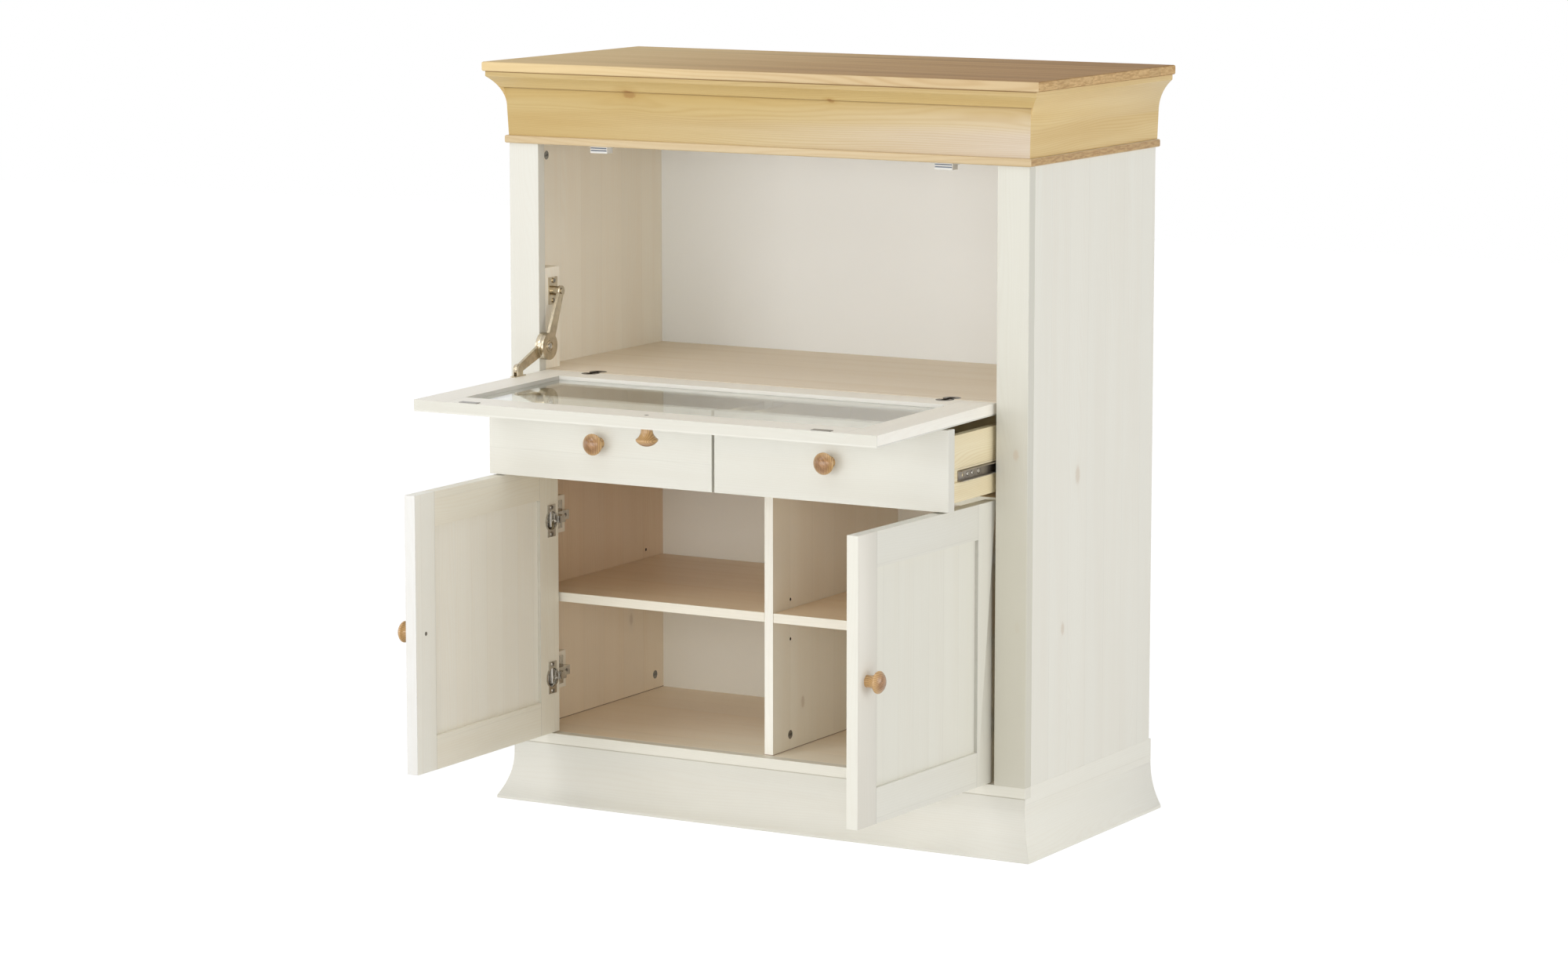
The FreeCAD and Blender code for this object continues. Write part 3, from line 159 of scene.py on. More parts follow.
class Graph:
    """Short names for the shader nodes of one material."""

    def __init__(self, name):
        self.mat = bpy.data.materials.new(name)
        self.mat.use_nodes = True
        self.tree = self.mat.node_tree
        self.tree.nodes.clear()
        self.out = self.node("ShaderNodeOutputMaterial")
        self._coord = None

    def node(self, kind, **settings):
        n = self.tree.nodes.new(kind)
        for key, value in settings.items():
            setattr(n, key, value)
        return n

    def put(self, socket, value):
        if isinstance(value, bpy.types.NodeSocket):
            self.tree.links.new(value, socket)
        elif value is not None:
            if hasattr(socket.default_value, "__len__") and not hasattr(value, "__len__"):
                value = (value,) * len(socket.default_value)
            socket.default_value = value

    def coord(self, kind="Object"):
        if self._coord is None:
            self._coord = self.node("ShaderNodeTexCoord")
        return self._coord.outputs[kind]

    def math(self, op, a, b=None, clamp=False):
        n = self.node("ShaderNodeMath", operation=op, use_clamp=clamp)
        for socket, value in zip(n.inputs, (a, b)):
            self.put(socket, value)
        return n.outputs[0]

    def add(self, a, b):
        return self.math("ADD", a, b)

    def mul(self, a, b):
        return self.math("MULTIPLY", a, b)

    def sub(self, a, b):
        return self.math("SUBTRACT", a, b)

    def comb(self, x, y, z):
        n = self.node("ShaderNodeCombineXYZ")
        for socket, value in zip(n.inputs, (x, y, z)):
            self.put(socket, value)
        return n.outputs[0]

    def sep(self, v):
        n = self.node("ShaderNodeSeparateXYZ")
        self.put(n.inputs[0], v)
        return n.outputs

    def smooth(self, value, low, high, a=0.0, b=1.0):
        n = self.node("ShaderNodeMapRange", interpolation_type="SMOOTHSTEP")
        names = ("Value", "From Min", "From Max", "To Min", "To Max")
        for key, v in zip(names, (value, low, high, a, b)):
            self.put(n.inputs[key], v)
        return n.outputs[0]

    def noise(self, vec, scale, detail=3.0, rough=0.5):
        n = self.node("ShaderNodeTexNoise", noise_dimensions="3D")
        self.put(n.inputs["Vector"], vec)
        self.put(n.inputs["Scale"], scale)
        self.put(n.inputs["Detail"], detail)
        self.put(n.inputs["Roughness"], rough)
        return n.outputs["Fac"]

    def white(self, value):
        n = self.node("ShaderNodeTexWhiteNoise", noise_dimensions="1D")
        self.put(n.inputs["W"], value)
        return n.outputs["Value"]

    def mix(self, fac, a, b, blend="MIX"):
        n = self.node("ShaderNodeMix", data_type="RGBA", blend_type=blend)
        self.put(n.inputs["Factor"], fac)
        self.put(n.inputs[6], a)
        self.put(n.inputs[7], b)
        return n.outputs[2]

    def mixf(self, fac, a, b):
        n = self.node("ShaderNodeMix", data_type="FLOAT")
        self.put(n.inputs["Factor"], fac)
        self.put(n.inputs[2], a)
        self.put(n.inputs[3], b)
        return n.outputs[0]

    def bump(self, height, distance):
        n = self.node("ShaderNodeBump")
        self.put(n.inputs["Height"], height)
        self.put(n.inputs["Distance"], distance)
        self.put(n.inputs["Strength"], 1.0)
        return n.outputs[0]

    def principled(self, color, rough, metallic=0.0, normal=None, **more):
        n = self.node("ShaderNodeBsdfPrincipled")
        self.put(n.inputs["Base Color"], color)
        self.put(n.inputs["Roughness"], rough)
        self.put(n.inputs["Metallic"], metallic)
        if normal is not None:
            self.put(n.inputs["Normal"], normal)
        for key, value in more.items():
            self.put(n.inputs[key.replace("_", " ")], value)
        self.tree.links.new(n.outputs[0], self.out.inputs["Surface"])
        return n


# Wood
AXES = {"X": (1, 0, 0), "Y": (0, 1, 0), "Z": (0, 0, 1)}


def dot(g, vec, direction):
    n = g.node("ShaderNodeVectorMath", operation="DOT_PRODUCT")
    g.put(n.inputs[0], vec)
    n.inputs[1].default_value = direction
    return n.outputs["Value"]


def wood(name, along, across, pale, dark, plank=0.05, line=0.35, ring=0.004, ring_mix=0.5, vary=0.10,
         knots=(), knot_color=(150, 100, 55), knot_mix=0.8, stray=0.0, rough=0.42, gloss=0.5,
         relief=0.00012, seed=0.0, masks=None, end=None, tint=None, zones=()):
    """Glued pine boards. along is the direction of the grain, across the one over the boards.

    knots are (along, across, radius) in metres, stray is the share of small loose knots. masks is
    a function of the graph that gives (mask, along, across, seam) for the parts of a frame whose
    grain runs the other way. zones are pairs of a mask function and the pale and dark colour that
    hold there. end is the pale and dark colour of sawn ends, tint a function of the last colour."""
    g = Graph(name)
    p = g.coord("Object")
    third = Vector(along).cross(Vector(across))
    u = dot(g, p, along)
    v = dot(g, p, across)
    w = dot(g, p, tuple(third))
    seam = None
    if masks:
        mask, u2, v2, seam = masks(g, p)
        u, v = g.mixf(mask, u, u2), g.mixf(mask, v, v2)
        u = g.add(u, g.mul(mask, 3.7))
    # the boards
    board = g.math("FLOOR", g.math("DIVIDE", g.add(v, 7.0 + seed), plank))
    chance = g.white(g.add(board, seed * 13.0))
    chance2 = g.white(g.add(board, seed * 13.0 + 0.37))
    inside = g.math("FRACT", g.math("DIVIDE", g.add(v, 7.0 + seed), plank))
    edge = g.math("MINIMUM", inside, g.sub(1.0, inside))
    glue = g.sub(1.0, g.smooth(g.mul(edge, plank), 0.00015, 0.0009))
    # knots push the grain aside
    vk, knot_core, knot_ring = v, None, None
    for ku, kv, kr in knots:
        du = g.sub(u, ku)
        dv = g.sub(v, kv)
        d = g.math("SQRT", g.add(g.mul(g.mul(du, du), 0.3), g.mul(dv, dv)))
        near = g.sub(1.0, g.smooth(d, kr * 0.8, kr * 5.0))
        vk = g.add(vk, g.mul(g.mul(near, g.math("SIGN", dv)), kr * 0.9))
        rough_d = g.add(d, g.mul(g.sub(g.noise(p, 300.0, 2.0), 0.5), kr * 0.5))
        core = g.sub(1.0, g.smooth(rough_d, kr * 0.45, kr * 1.1))
        halo = g.sub(1.0, g.smooth(rough_d, kr * 0.9, kr * 2.6))
        knot_core = core if knot_core is None else g.math("MAXIMUM", knot_core, core)
        knot_ring = halo if knot_ring is None else g.math("MAXIMUM", knot_ring, halo)
    # growth rings: nearly straight lines that wander and now and then close to long arches
    shift = g.mul(chance, 31.0)
    slow = g.noise(g.comb(g.add(g.mul(u, 1.1), shift), g.mul(vk, 9.0), g.mul(w, 9.0)), 1.0, 2.0, 0.45)
    wander = g.mul(g.sub(slow, 0.5), g.mixf(chance2, 0.05, 0.17))
    phase = g.add(g.add(vk, wander), g.mul(w, 0.6))
    rings = g.math("SINE", g.mul(phase, 2 * math.pi / ring))
    rings = g.math("POWER", g.add(g.mul(rings, 0.5), 0.5), 2.2)
    fine = g.noise(g.comb(g.add(g.mul(u, 7.0), shift), g.mul(vk, 420.0), g.mul(w, 420.0)), 1.0, 3.0, 0.6)
    band = g.noise(g.comb(g.add(g.mul(u, 1.6), shift), g.mul(vk, 26.0), g.mul(w, 26.0)), 1.0, 3.0, 0.55)
    soft = g.noise(g.comb(g.add(g.mul(u, 0.7), g.mul(chance, 9.0)), g.mul(v, 3.0), g.mul(w, 3.0)),
                   1.0, 2.0, 0.5)
    tone = g.add(g.mul(rings, ring_mix), g.mul(g.smooth(band, 0.35, 0.75), 0.45))
    tone = g.add(tone, g.mul(g.sub(fine, 0.5), 0.35))
    tone = g.math("MULTIPLY", tone, g.mixf(soft, 0.5, 1.15), clamp=True)
    color = g.mix(tone, lin(*pale), lin(*dark))
    for zone, (zone_pale, zone_dark) in zones:
        color = g.mix(zone(g, p), color, g.mix(tone, lin(*zone_pale), lin(*zone_dark)))
    lift = g.add(1.0 - vary / 2, g.mul(chance, vary))
    color = g.mix(1.0, color, g.comb(lift, lift, lift), "MULTIPLY")
    if stray > 0:
        vor = g.node("ShaderNodeTexVoronoi", voronoi_dimensions="3D")
        g.put(vor.inputs["Vector"], g.comb(g.mul(u, 0.62), v, g.mul(w, 0.3)))
        vor.inputs["Scale"].default_value = 4.2
        cell = g.sep(vor.outputs["Color"])[0]
        size = g.smooth(cell, 1.0 - stray, 1.0, 0.0, 0.045)
        wavy = g.add(vor.outputs["Distance"], g.mul(g.sub(g.noise(p, 160.0, 2.0), 0.5), 0.02))
        spread = g.math("DIVIDE", wavy, g.add(size, 0.0001))
        spot = g.mul(g.sub(1.0, g.smooth(spread, 0.4, 1.2)), g.math("GREATER_THAN", size, 0.008))
        color = g.mix(g.mul(spot, knot_mix), color, lin(*knot_color))
    if knot_core is not None:
        color = g.mix(g.mul(knot_ring, knot_mix * 0.45), color, lin(*dark))
        color = g.mix(g.mul(knot_core, knot_mix), color, lin(*knot_color))
    color = g.mix(g.mul(glue, line), color, lin(*[int(c * 0.62) for c in dark]))
    height = g.add(g.mul(rings, 0.5), g.mul(fine, 0.8))
    height = g.sub(height, g.mul(glue, 1.5))
    if seam is not None:
        color = g.mix(g.mul(seam, 0.42), color, lin(*[int(c * 0.55) for c in dark]))
        height = g.sub(height, g.mul(seam, 3.0))
    if end is not None:
        # sawn ends: darker, with short strokes of the rings
        facing = g.math("ABSOLUTE", dot(g, g.coord("Normal"), along))
        cut = g.smooth(facing, 0.75, 0.9)
        arcs = g.noise(g.comb(g.mul(v, 55.0), g.mul(w, 340.0), g.mul(board, 3.1)), 1.0, 2.0, 0.6)
        speck = g.noise(p, 900.0, 2.0, 0.6)
        shade = g.math("ADD", g.mul(g.smooth(arcs, 0.3, 0.7), 0.7), g.mul(speck, 0.3))
        ends = g.mix(shade, lin(*end[0]), lin(*end[1]))
        ends = g.mix(1.0, ends, g.comb(lift, lift, lift), "MULTIPLY")
        color = g.mix(cut, color, ends)
    if tint is not None:
        color = tint(g, p, color)
    shine = g.add(rough - 0.05, g.mul(tone, 0.10))
    normal = g.bump(height, relief)
    g.principled(color, shine, 0.0, normal, Specular_IOR_Level=gloss)
    return g.mat


# Plain materials
def metal(name, color, rough):
    """Nickel, zinc or steel with fine brushed streaks."""
    g = Graph(name)
    p = g.coord("Object")
    u, v, w = dot(g, p, (1, 0, 0)), dot(g, p, (0, -1, 0)), dot(g, p, (0, 0, 1))
    lines = g.noise(g.comb(g.mul(u, 40.0), g.mul(v, 2500.0), w), 1.0, 3.0, 0.6)
    cloud = g.noise(p, 90.0, 3.0, 0.6)
    tone = g.mix(g.smooth(cloud, 0.3, 0.75), lin(*color), lin(*[int(c * 0.86) for c in color]))
    r = g.add(rough, g.mul(g.sub(g.add(g.mul(lines, 0.6), g.mul(cloud, 0.4)), 0.5), 0.12))
    g.principled(tone, r, 1.0, g.bump(lines, 0.00002))
    return g.mat


def catch_material():
    """White moulding of the catches; the two pole plates in front are steel."""
    g = Graph("catch_white")
    p = g.coord("Object")
    pole = g.math("LESS_THAN", g.sep(p)[1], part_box("magnetic_catches")[0][1] + 0.00079)
    cloud = g.noise(p, 60.0, 3.0, 0.6)
    tone = g.mix(cloud, lin(236, 235, 231), lin(225, 224, 220))
    g.principled(g.mix(pole, tone, lin(120, 128, 140)), g.add(0.25, g.mul(cloud, 0.1)), g.mul(pole, 0.8),
                 g.bump(g.noise(p, 1800.0, 2.0), 0.00002))
    return g.mat


def painted_board(name, color):
    """Smooth lacquered board of the back, with the faint orange skin of a roller. Below the drawer deck
    it is a warmer white: painted light.
    """
    g = Graph(name)
    p = g.coord("Object")
    cloud = g.noise(p, 3.0, 3.0, 0.55)
    tone = g.mix(g.smooth(cloud, 0.3, 0.7), lin(*color), lin(*[c - 3 for c in color]))
    # painted light: a warmer white below the drawer deck
    tone = g.mix(g.smooth(g.sep(p)[2], 0.60, 0.58, 0.0, 1.0), tone, lin(253, 251, 241))
    skin = g.noise(p, 700.0, 2.0, 0.5)
    g.principled(tone, g.add(0.42, g.mul(skin, 0.1)), 0.0, g.bump(skin, 0.00003))
    return g.mat


def clear_glass():
    g = Graph("glass_clear")
    n = g.principled(lin(250, 253, 251), 0.02, 0.0)
    n.inputs["Transmission Weight"].default_value = 1.0
    n.inputs["IOR"].default_value = 1.45
    smear = g.noise(g.coord("Object"), 14.0, 4.0, 0.6)
    g.put(n.inputs["Roughness"], g.mul(g.smooth(smear, 0.45, 0.8), 0.03))
    return g.mat


def knob_material(name, centre, axis):
    """Lacquered turned pine: rings of the end grain on the head, lines down the neck."""
    g = Graph(name)
    p = g.coord("Object")
    off = g.node("ShaderNodeVectorMath", operation="SUBTRACT")
    g.put(off.inputs[0], p)
    off.inputs[1].default_value = centre
    v = off.outputs[0]
    axis = Vector(axis)
    side = Vector((1, 0, 0)) if abs(axis.x) < 0.5 else Vector((0, 0, 1))
    side = (side - axis * side.dot(axis)).normalized()
    third = axis.cross(side)
    a, b, h = dot(g, v, tuple(side)), dot(g, v, tuple(third)), dot(g, v, tuple(axis))
    a = g.add(a, 0.034)
    r = g.math("SQRT", g.add(g.mul(a, a), g.mul(b, b)))
    wob = g.noise(g.comb(g.mul(a, 30.0), g.mul(b, 30.0), g.mul(h, 12.0)), 1.0, 2.0)
    rings = g.math("SINE", g.mul(g.add(r, g.mul(wob, 0.004)), 2 * math.pi / 0.0026))
    rings = g.math("POWER", g.add(g.mul(rings, 0.5), 0.5), 2.0)
    fine = g.noise(g.comb(g.mul(a, 900.0), g.mul(b, 900.0), g.mul(h, 60.0)), 1.0, 2.0, 0.6)
    tone = g.math("ADD", g.mul(rings, 0.7), g.mul(fine, 0.3), clamp=True)
    side_grain = g.mix(tone, lin(206, 168, 112), lin(158, 114, 66))
    slant = g.noise(g.comb(g.mul(g.add(a, b), 260.0), g.mul(g.sub(a, b), 40.0), 0.0), 1.0, 2.0, 0.5)
    end_grain = g.mix(tone, lin(164, 120, 72), lin(106, 68, 36))
    end_grain = g.mix(g.smooth(slant, 0.45, 0.7, 0.0, 0.6), end_grain, lin(190, 144, 98))
    head = g.smooth(dot(g, g.coord("Normal"), tuple(axis)), 0.6, 0.93)
    color = g.mix(head, side_grain, end_grain)
    g.principled(color, 0.3, 0.0, g.bump(g.add(rings, fine), 0.00006),
                 Coat_Weight=0.45, Coat_Roughness=0.08)
    return g.mat


# Placing of materials, and eased edges
def dress(node, material):
    """Gives a CAD node one material."""
    data = NODES[node].data
    data.materials.clear()
    data.materials.append(material)


def ease(node, width):
    """Small rounded edges on a CAD node, as a modifier."""
    obj = NODES[node]
    weld = obj.modifiers.new("weld", "WELD")
    weld.merge_threshold = WELD_DISTANCE
    bevel = obj.modifiers.new("edge", "BEVEL")
    bevel.width = width
    bevel.segments = 2
    bevel.limit_method = "ANGLE"
    bevel.angle_limit = math.radians(BEVEL_ANGLE)
    bevel.use_clamp_overlap = True
    bevel.harden_normals = False


X, Y, Z = AXES["X"], AXES["Y"], AXES["Z"]
# INNER is partly the inner wood's own colour and partly painted light. DEEP and TAN are darker copies of
# it, painted shade; FOOT is a warmer one, painted light below the shelves. LATH, SIDE and EDGE are paler
# copies of the white paint, painted light.
WHITE = dict(pale=(224, 222, 212), dark=(219, 215, 203), ring_mix=0.3, vary=0.022, line=0.08,
             knot_color=(205, 186, 162), knot_mix=0.45, stray=0.08, rough=0.45, relief=0.00006)
INNER = dict(pale=(253, 247, 232), dark=(247, 234, 214), ring_mix=0.4, vary=0.035, line=0.14,
             knot_color=(190, 156, 122), knot_mix=0.5, stray=0.10, rough=0.48)
DEEP = ((241, 217, 188), (229, 200, 166))
FOOT = ((254, 239, 216), (246, 227, 199))
TAN = ((206, 170, 126), (176, 134, 90))
LATH = dict(pale=(244, 238, 223), dark=(237, 229, 211))
SIDE = dict(pale=(238, 236, 225), dark=(233, 228, 215))
EDGE = dict(pale=(251, 248, 238), dark=(245, 239, 227))
LINED = dict(pale=(247, 242, 227), dark=(239, 230, 210), ring_mix=0.32, vary=0.025, line=0.08,
             knot_color=(205, 180, 150), knot_mix=0.4, stray=0.08, rough=0.45, relief=0.00006)
PINE = dict(pale=(214, 188, 131), dark=(192, 156, 92), ring_mix=0.32, vary=0.06, line=0.4,
            knot_color=(150, 92, 44), knot_mix=0.85, stray=0.05, rough=0.42, gloss=0.3)
BROWN = dict(pale=(197, 162, 110), dark=(147, 110, 66), ring_mix=0.5, vary=0.16, line=0.5,
             knot_color=(120, 74, 36), knot_mix=0.8, stray=0.08, rough=0.6, gloss=0.12)
BARE = dict(pale=(240, 228, 194), dark=(218, 194, 144), ring_mix=0.38, vary=0.06, line=0.3,
            knot_color=(150, 96, 50), knot_mix=0.8, stray=0.05, rough=0.55)


def beyond(direction, limit):
    """Mask of the places beyond a limit along a direction."""
    return lambda g, p: g.math("GREATER_THAN", dot(g, p, direction), limit)


def both(first, second):
    """Mask where two masks hold."""
    return lambda g, p: g.mul(first(g, p), second(g, p))


def frame_mask(direction, origin, offset, width, border):
    """Mask of the rails of a door frame, with a hairline where a rail meets a stile."""
    def build(g, p):
        d = g.add(g.sub(dot(g, p, direction), Vector(direction).dot(Vector(origin))), offset)
        z = g.sep(p)[2]
        a = g.math("GREATER_THAN", d, border)
        b = g.math("LESS_THAN", d, width - border)
        mask = g.mul(a, b)
        near = g.math("MINIMUM", g.math("ABSOLUTE", g.sub(d, border)),
                      g.math("ABSOLUTE", g.sub(d, width - border)))
        seam = g.sub(1.0, g.smooth(near, SEAM_INNER, SEAM_OUTER))
        return mask, d, z, seam
    return build


def flap_mask(border):
    """The same for the flap's frame, without hairlines on its free edge."""
    def build(g, p):
        x, y = g.sep(p)[0], g.sep(p)[1]
        ax = g.math("ABSOLUTE", x)
        mask = g.math("LESS_THAN", ax, border)
        seam = g.sub(1.0, g.smooth(g.math("ABSOLUTE", g.sub(ax, border)), SEAM_INNER, SEAM_OUTER))
        return mask, x, y, g.mul(seam, g.math("GREATER_THAN", y, -FLAP_FREE_EDGE))
    return build


def marks(g, p, color):
    """Dark joint over the floor of the lower compartments and the unused holes for shelf pins."""
    x, y, z = g.sep(p)
    seam = g.mul(g.math("LESS_THAN", g.math("ABSOLUTE", g.sub(z, FLOOR_JOINT)), FLOOR_JOINT_HALF),
                 g.math("LESS_THAN", g.math("ABSOLUTE", g.add(x, FLOOR_MIDDLE)), FLOOR_HALF))
    color = g.mix(g.mul(seam, 0.75), color, lin(112, 70, 42))
    for place in PIN_PLACES:
        for height in PIN_HEIGHTS:
            dy, dz = g.sub(y, place), g.sub(z, height)
            away = g.add(g.mul(dy, dy), g.mul(dz, dz))
            hole = g.mul(g.math("LESS_THAN", away, PIN_RADIUS ** 2),
                         g.math("LESS_THAN", g.math("ABSOLUTE", x), WALL_FACE))
            color = g.mix(hole, color, lin(62, 46, 34))
    return color


def timber(palette):
    """Maker of wood materials that start from a palette."""
    return lambda name, along, across, **more: wood(name, along, across, **{**palette, **more})


def dress_all():
    """Gives every CAD node its material and returns the two metals of the screws."""
    w, i, pine = timber(WHITE), timber(INNER), timber(PINE)
    # body: the outer faces are greyer than the inner ones, partly the wood's own colour and partly
    # painted light; the drawers' space is the brownest, painted shade
    inside = (INNER["pale"], INNER["dark"])

    def inward(sign):
        return beyond((sign, 0, 0), -WALL_FACE)

    def lower(mask, top):
        return both(mask, beyond((0, 0, -1), -top))

    def inner_zones(sign):
        """Inside colours by height: bar compartment, drawers, upper and lower shelf spaces. The drawers'
        space and upper shelf space are darker, painted shade; the lower shelf space is warmer and paler,
        painted light.
        """
        face = inward(sign)
        return ((face, inside), (lower(face, WORKTOP_MIDDLE), TAN),
                (lower(face, DECK_TOP), DEEP), (lower(face, SHELF_MIDDLE), FOOT))

    # The side panels' outer faces take SIDE, a paler copy of the white paint: painted light.
    dress("side_panel_right", w("white_side_right", Z, Y, plank=0.066, seed=0.013, **SIDE,
                                knots=((0.607, -0.05, 0.010), (0.36, -0.10, 0.007)),
                                zones=inner_zones(-1), tint=marks))
    dress("side_panel_left", w("white_side_left", Z, Y, plank=0.066, seed=0.3, **SIDE,
                               zones=inner_zones(1), tint=marks, knots=((0.256, 0.117, 0.007),)))

    def shaded(g, p, color):
        """Painted shade: the right stile is a little darker behind the open door."""
        return g.mix(g.smooth(g.sep(p)[2], 0.66, 0.50, 0.0, 0.8), color, lin(213, 209, 193))

    # The whole right stile is a darker copy of the white paint: painted shade.
    dress("face_stile_right", w("white_stile_right", Z, X, plank=0.2, seed=0.05, pale=(216, 214, 202),
                                dark=(210, 206, 192), tint=shaded,
                                knots=((0.66, 0.470, 0.006), (0.38, 0.474, 0.006))))
    dress("face_stile_left", w("white_stile_left", Z, X, plank=0.2, seed=0.15))
    dress("lower_front_rail", w("white_front_rail", X, Z, plank=0.3, seed=0.25, pale=(233, 230, 218),
                                dark=(227, 223, 208)))
    ledge = box_of("plinth_front")[1][2]

    def edge_line(g, p, color):
        """Fine shadow line along the upper edge of the plinth."""
        line = g.smooth(g.sep(p)[2], ledge - 0.0022, ledge - 0.0008, 0.0, 0.4)
        return g.mix(line, color, lin(150, 138, 112))

    dress("plinth_front", w("white_plinth_front", X, Z, plank=0.3, seed=0.31, tint=edge_line))
    # The plinth's ends are a paler copy of the white paint: painted light.
    dress("plinth_left", w("white_plinth_left", Y, Z, plank=0.3, seed=0.37, pale=(242, 240, 229),
                           dark=(236, 231, 217)))
    dress("plinth_right", w("white_plinth_right", Y, Z, plank=0.3, seed=0.41, pale=(242, 240, 229),
                            dark=(236, 231, 217)))
    # Painted light: the faces of divider and partition behind their front edges are a pale white, palest
    # below the shelves, and their front edges take the paler EDGE white.
    behind = beyond((0, 1, 0), BOARD_FRONT)
    edged = ((behind, ((254, 246, 231), (248, 236, 216))),
             (lower(behind, SHELF_UNDERSIDE), ((254, 249, 235), (249, 240, 222))))

    def shade_by_left_wall(g, p, color):
        """Painted shade: shelves and deck are darkest beside the left wall and paler to the right."""
        x = g.sep(p)[0]
        lift = g.comb(*[g.smooth(x, -0.45, -0.05, 0.93, most) for most in (1.12, 1.17, 1.21)])
        return g.mix(beyond((0, 0, 1), SHELF_SKIN)(g, p), color, g.mix(1.0, color, lift, "MULTIPLY"))

    def painted_light_floor(g, p, color):
        """Painted light: the floor is palest at the front, towards the divider."""
        x, y, _ = g.sep(p)
        near = g.mul(g.smooth(x, -0.35, -0.05), g.smooth(y, 0.1, -0.2))
        return g.mix(near, color, g.mix(1.0, color, (1.0, 1.07, 1.14, 1), "MULTIPLY"))

    upright = w("inner_upright", Z, Y, plank=0.075, seed=0.2, zones=edged, tint=marks,
                knots=((0.193, -0.107, 0.007),), **EDGE)
    # Shelves and deck: DEEP behind the front edge is painted shade, and the LATH front edges are painted
    # light.
    flat = w("inner_flat", X, Y, plank=0.07, seed=0.6, zones=((behind, DEEP),), tint=shade_by_left_wall, **LATH)
    for node in ("centre_divider", "drawer_partition"):
        dress(node, upright)
    for node in ("shelf_left", "shelf_right", "drawer_deck"):
        dress(node, flat)
    dress("mounting_blocks", i("inner_blocks", Z, Y, plank=0.3, seed=0.26))
    dress("bottom_panel", i("inner_floor", X, Y, plank=0.07, seed=0.64, pale=FOOT[0], dark=FOOT[1],
                            tint=painted_light_floor))
    # Below its upper face the worktop takes TAN: painted shade.
    dress("worktop", i("inner_worktop", X, Y, plank=0.07, seed=0.68, pale=(243, 231, 211),
                       dark=(232, 216, 191), zones=((beyond((0, 0, -1), -WORKTOP_SKIN), TAN),)))
    dress("back_panel", painted_board("back_white", (251, 253, 252)))

    # crown
    def painted_crown_shade(g, p, color):
        """Painted shade and light on the front moulding: below its crease it is dimmer at the left and
        paler to the right, with a paler foot and a dark strip under the crease; its lip is darker.
        """
        x, z = g.sep(p)[0], g.sep(p)[2]
        below = g.math("LESS_THAN", z, CROWN_CREASE)
        shade = g.mix(g.smooth(x, -0.1, 0.6), (0.86, 0.86, 0.84, 1), (0.96, 1.05, 1.52, 1))
        color = g.mix(below, color, g.mix(1.0, color, shade, "MULTIPLY"))
        foot = g.mul(g.smooth(z, 1.19, 1.165), g.smooth(x, -0.45, 0.1))
        color = g.mix(foot, color, g.mix(1.0, color, (1.03, 1.08, 1.34, 1), "MULTIPLY"))
        strip = g.mul(below, g.smooth(z, 1.188, 1.214, 0.0, 0.5))
        color = g.mix(strip, color, lin(200, 168, 100))
        lip = g.mix(1.0, color, (0.85, 0.85, 0.86, 1), "MULTIPLY")
        color = g.mix(g.math("GREATER_THAN", z, CROWN_LIP), color, lip)
        # Painted shadow lines under the crease and under the top board.
        under = g.mul(g.smooth(z, 1.2138, 1.2162), below)
        joint = g.smooth(z, 1.2424, 1.2430)
        return g.mix(g.math("MAXIMUM", g.mul(under, 0.45), g.mul(joint, 0.75)), color, lin(112, 78, 34))

    dress("crown_front", pine("pine_crown_front", X, Z, plank=0.4, seed=0.11, tint=painted_crown_shade,
                              knots=((-0.25, 1.2125, 0.008), (0.134, 1.2155, 0.004))))
    for node, seed in (("crown_left", 0.21), ("crown_right", 0.33)):
        dress(node, pine("pine_" + node, Y, Z, plank=0.4, seed=seed, pale=(225, 199, 143),
                         dark=(203, 167, 103)))
    dress("crown_base_board", pine("pine_base_board", X, Y, plank=0.052, seed=0.43,
                                   pale=(208, 187, 150), dark=(189, 161, 117),
                                   end=((206, 174, 122), (164, 124, 76))))
    for node in ("crown_inner_blocks", "plinth_inner_rails", "runner_blocks"):
        dress(node, pine(node + "_pine", Y if node == "runner_blocks" else X, Z, plank=0.3))

    def painted_sheen_top_board(g, p, color):
        """Painted sheen: the top board is palest at its left end and browner to the right."""
        x, y, _ = g.sep(p)
        pale = g.smooth(x, 0.1, -0.55, 0.0, 0.7)
        color = g.mix(pale, color, lin(232, 206, 154))
        dim = g.mul(g.smooth(x, -0.15, 0.5), g.math("GREATER_THAN", y, -TOP_FRONT))
        dim = g.mul(dim, g.math("LESS_THAN", x, 0.5222))
        return g.mix(dim, color, g.mix(1.0, color, (0.75, 0.67, 0.56, 1), "MULTIPLY"))

    front_edge = ((beyond((0, -1, 0), TOP_FRONT), ((213, 190, 150), (194, 163, 119))),)
    dress("top_board", wood("brown_top", X, Y, plank=0.042, seed=0.17, zones=front_edge, tint=painted_sheen_top_board,
                            end=((222, 190, 140), (180, 142, 94)), **BROWN))
    # drawers
    for side, sign in (("left", -1), ("right", 1)):
        dress(f"drawer_{side}_front", w(f"white_drawer_{side}", X, Z, plank=0.3, seed=0.5 + sign * 0.03))
        dress(f"drawer_{side}_box", wood(f"bare_box_{side}", Y, Z, plank=0.3,
                                         seed=0.7 + sign * 0.05, **BARE))
        dress(f"drawer_{side}_bottom", wood(f"bare_bottom_{side}", X, Y, plank=0.09, seed=0.8, **BARE))
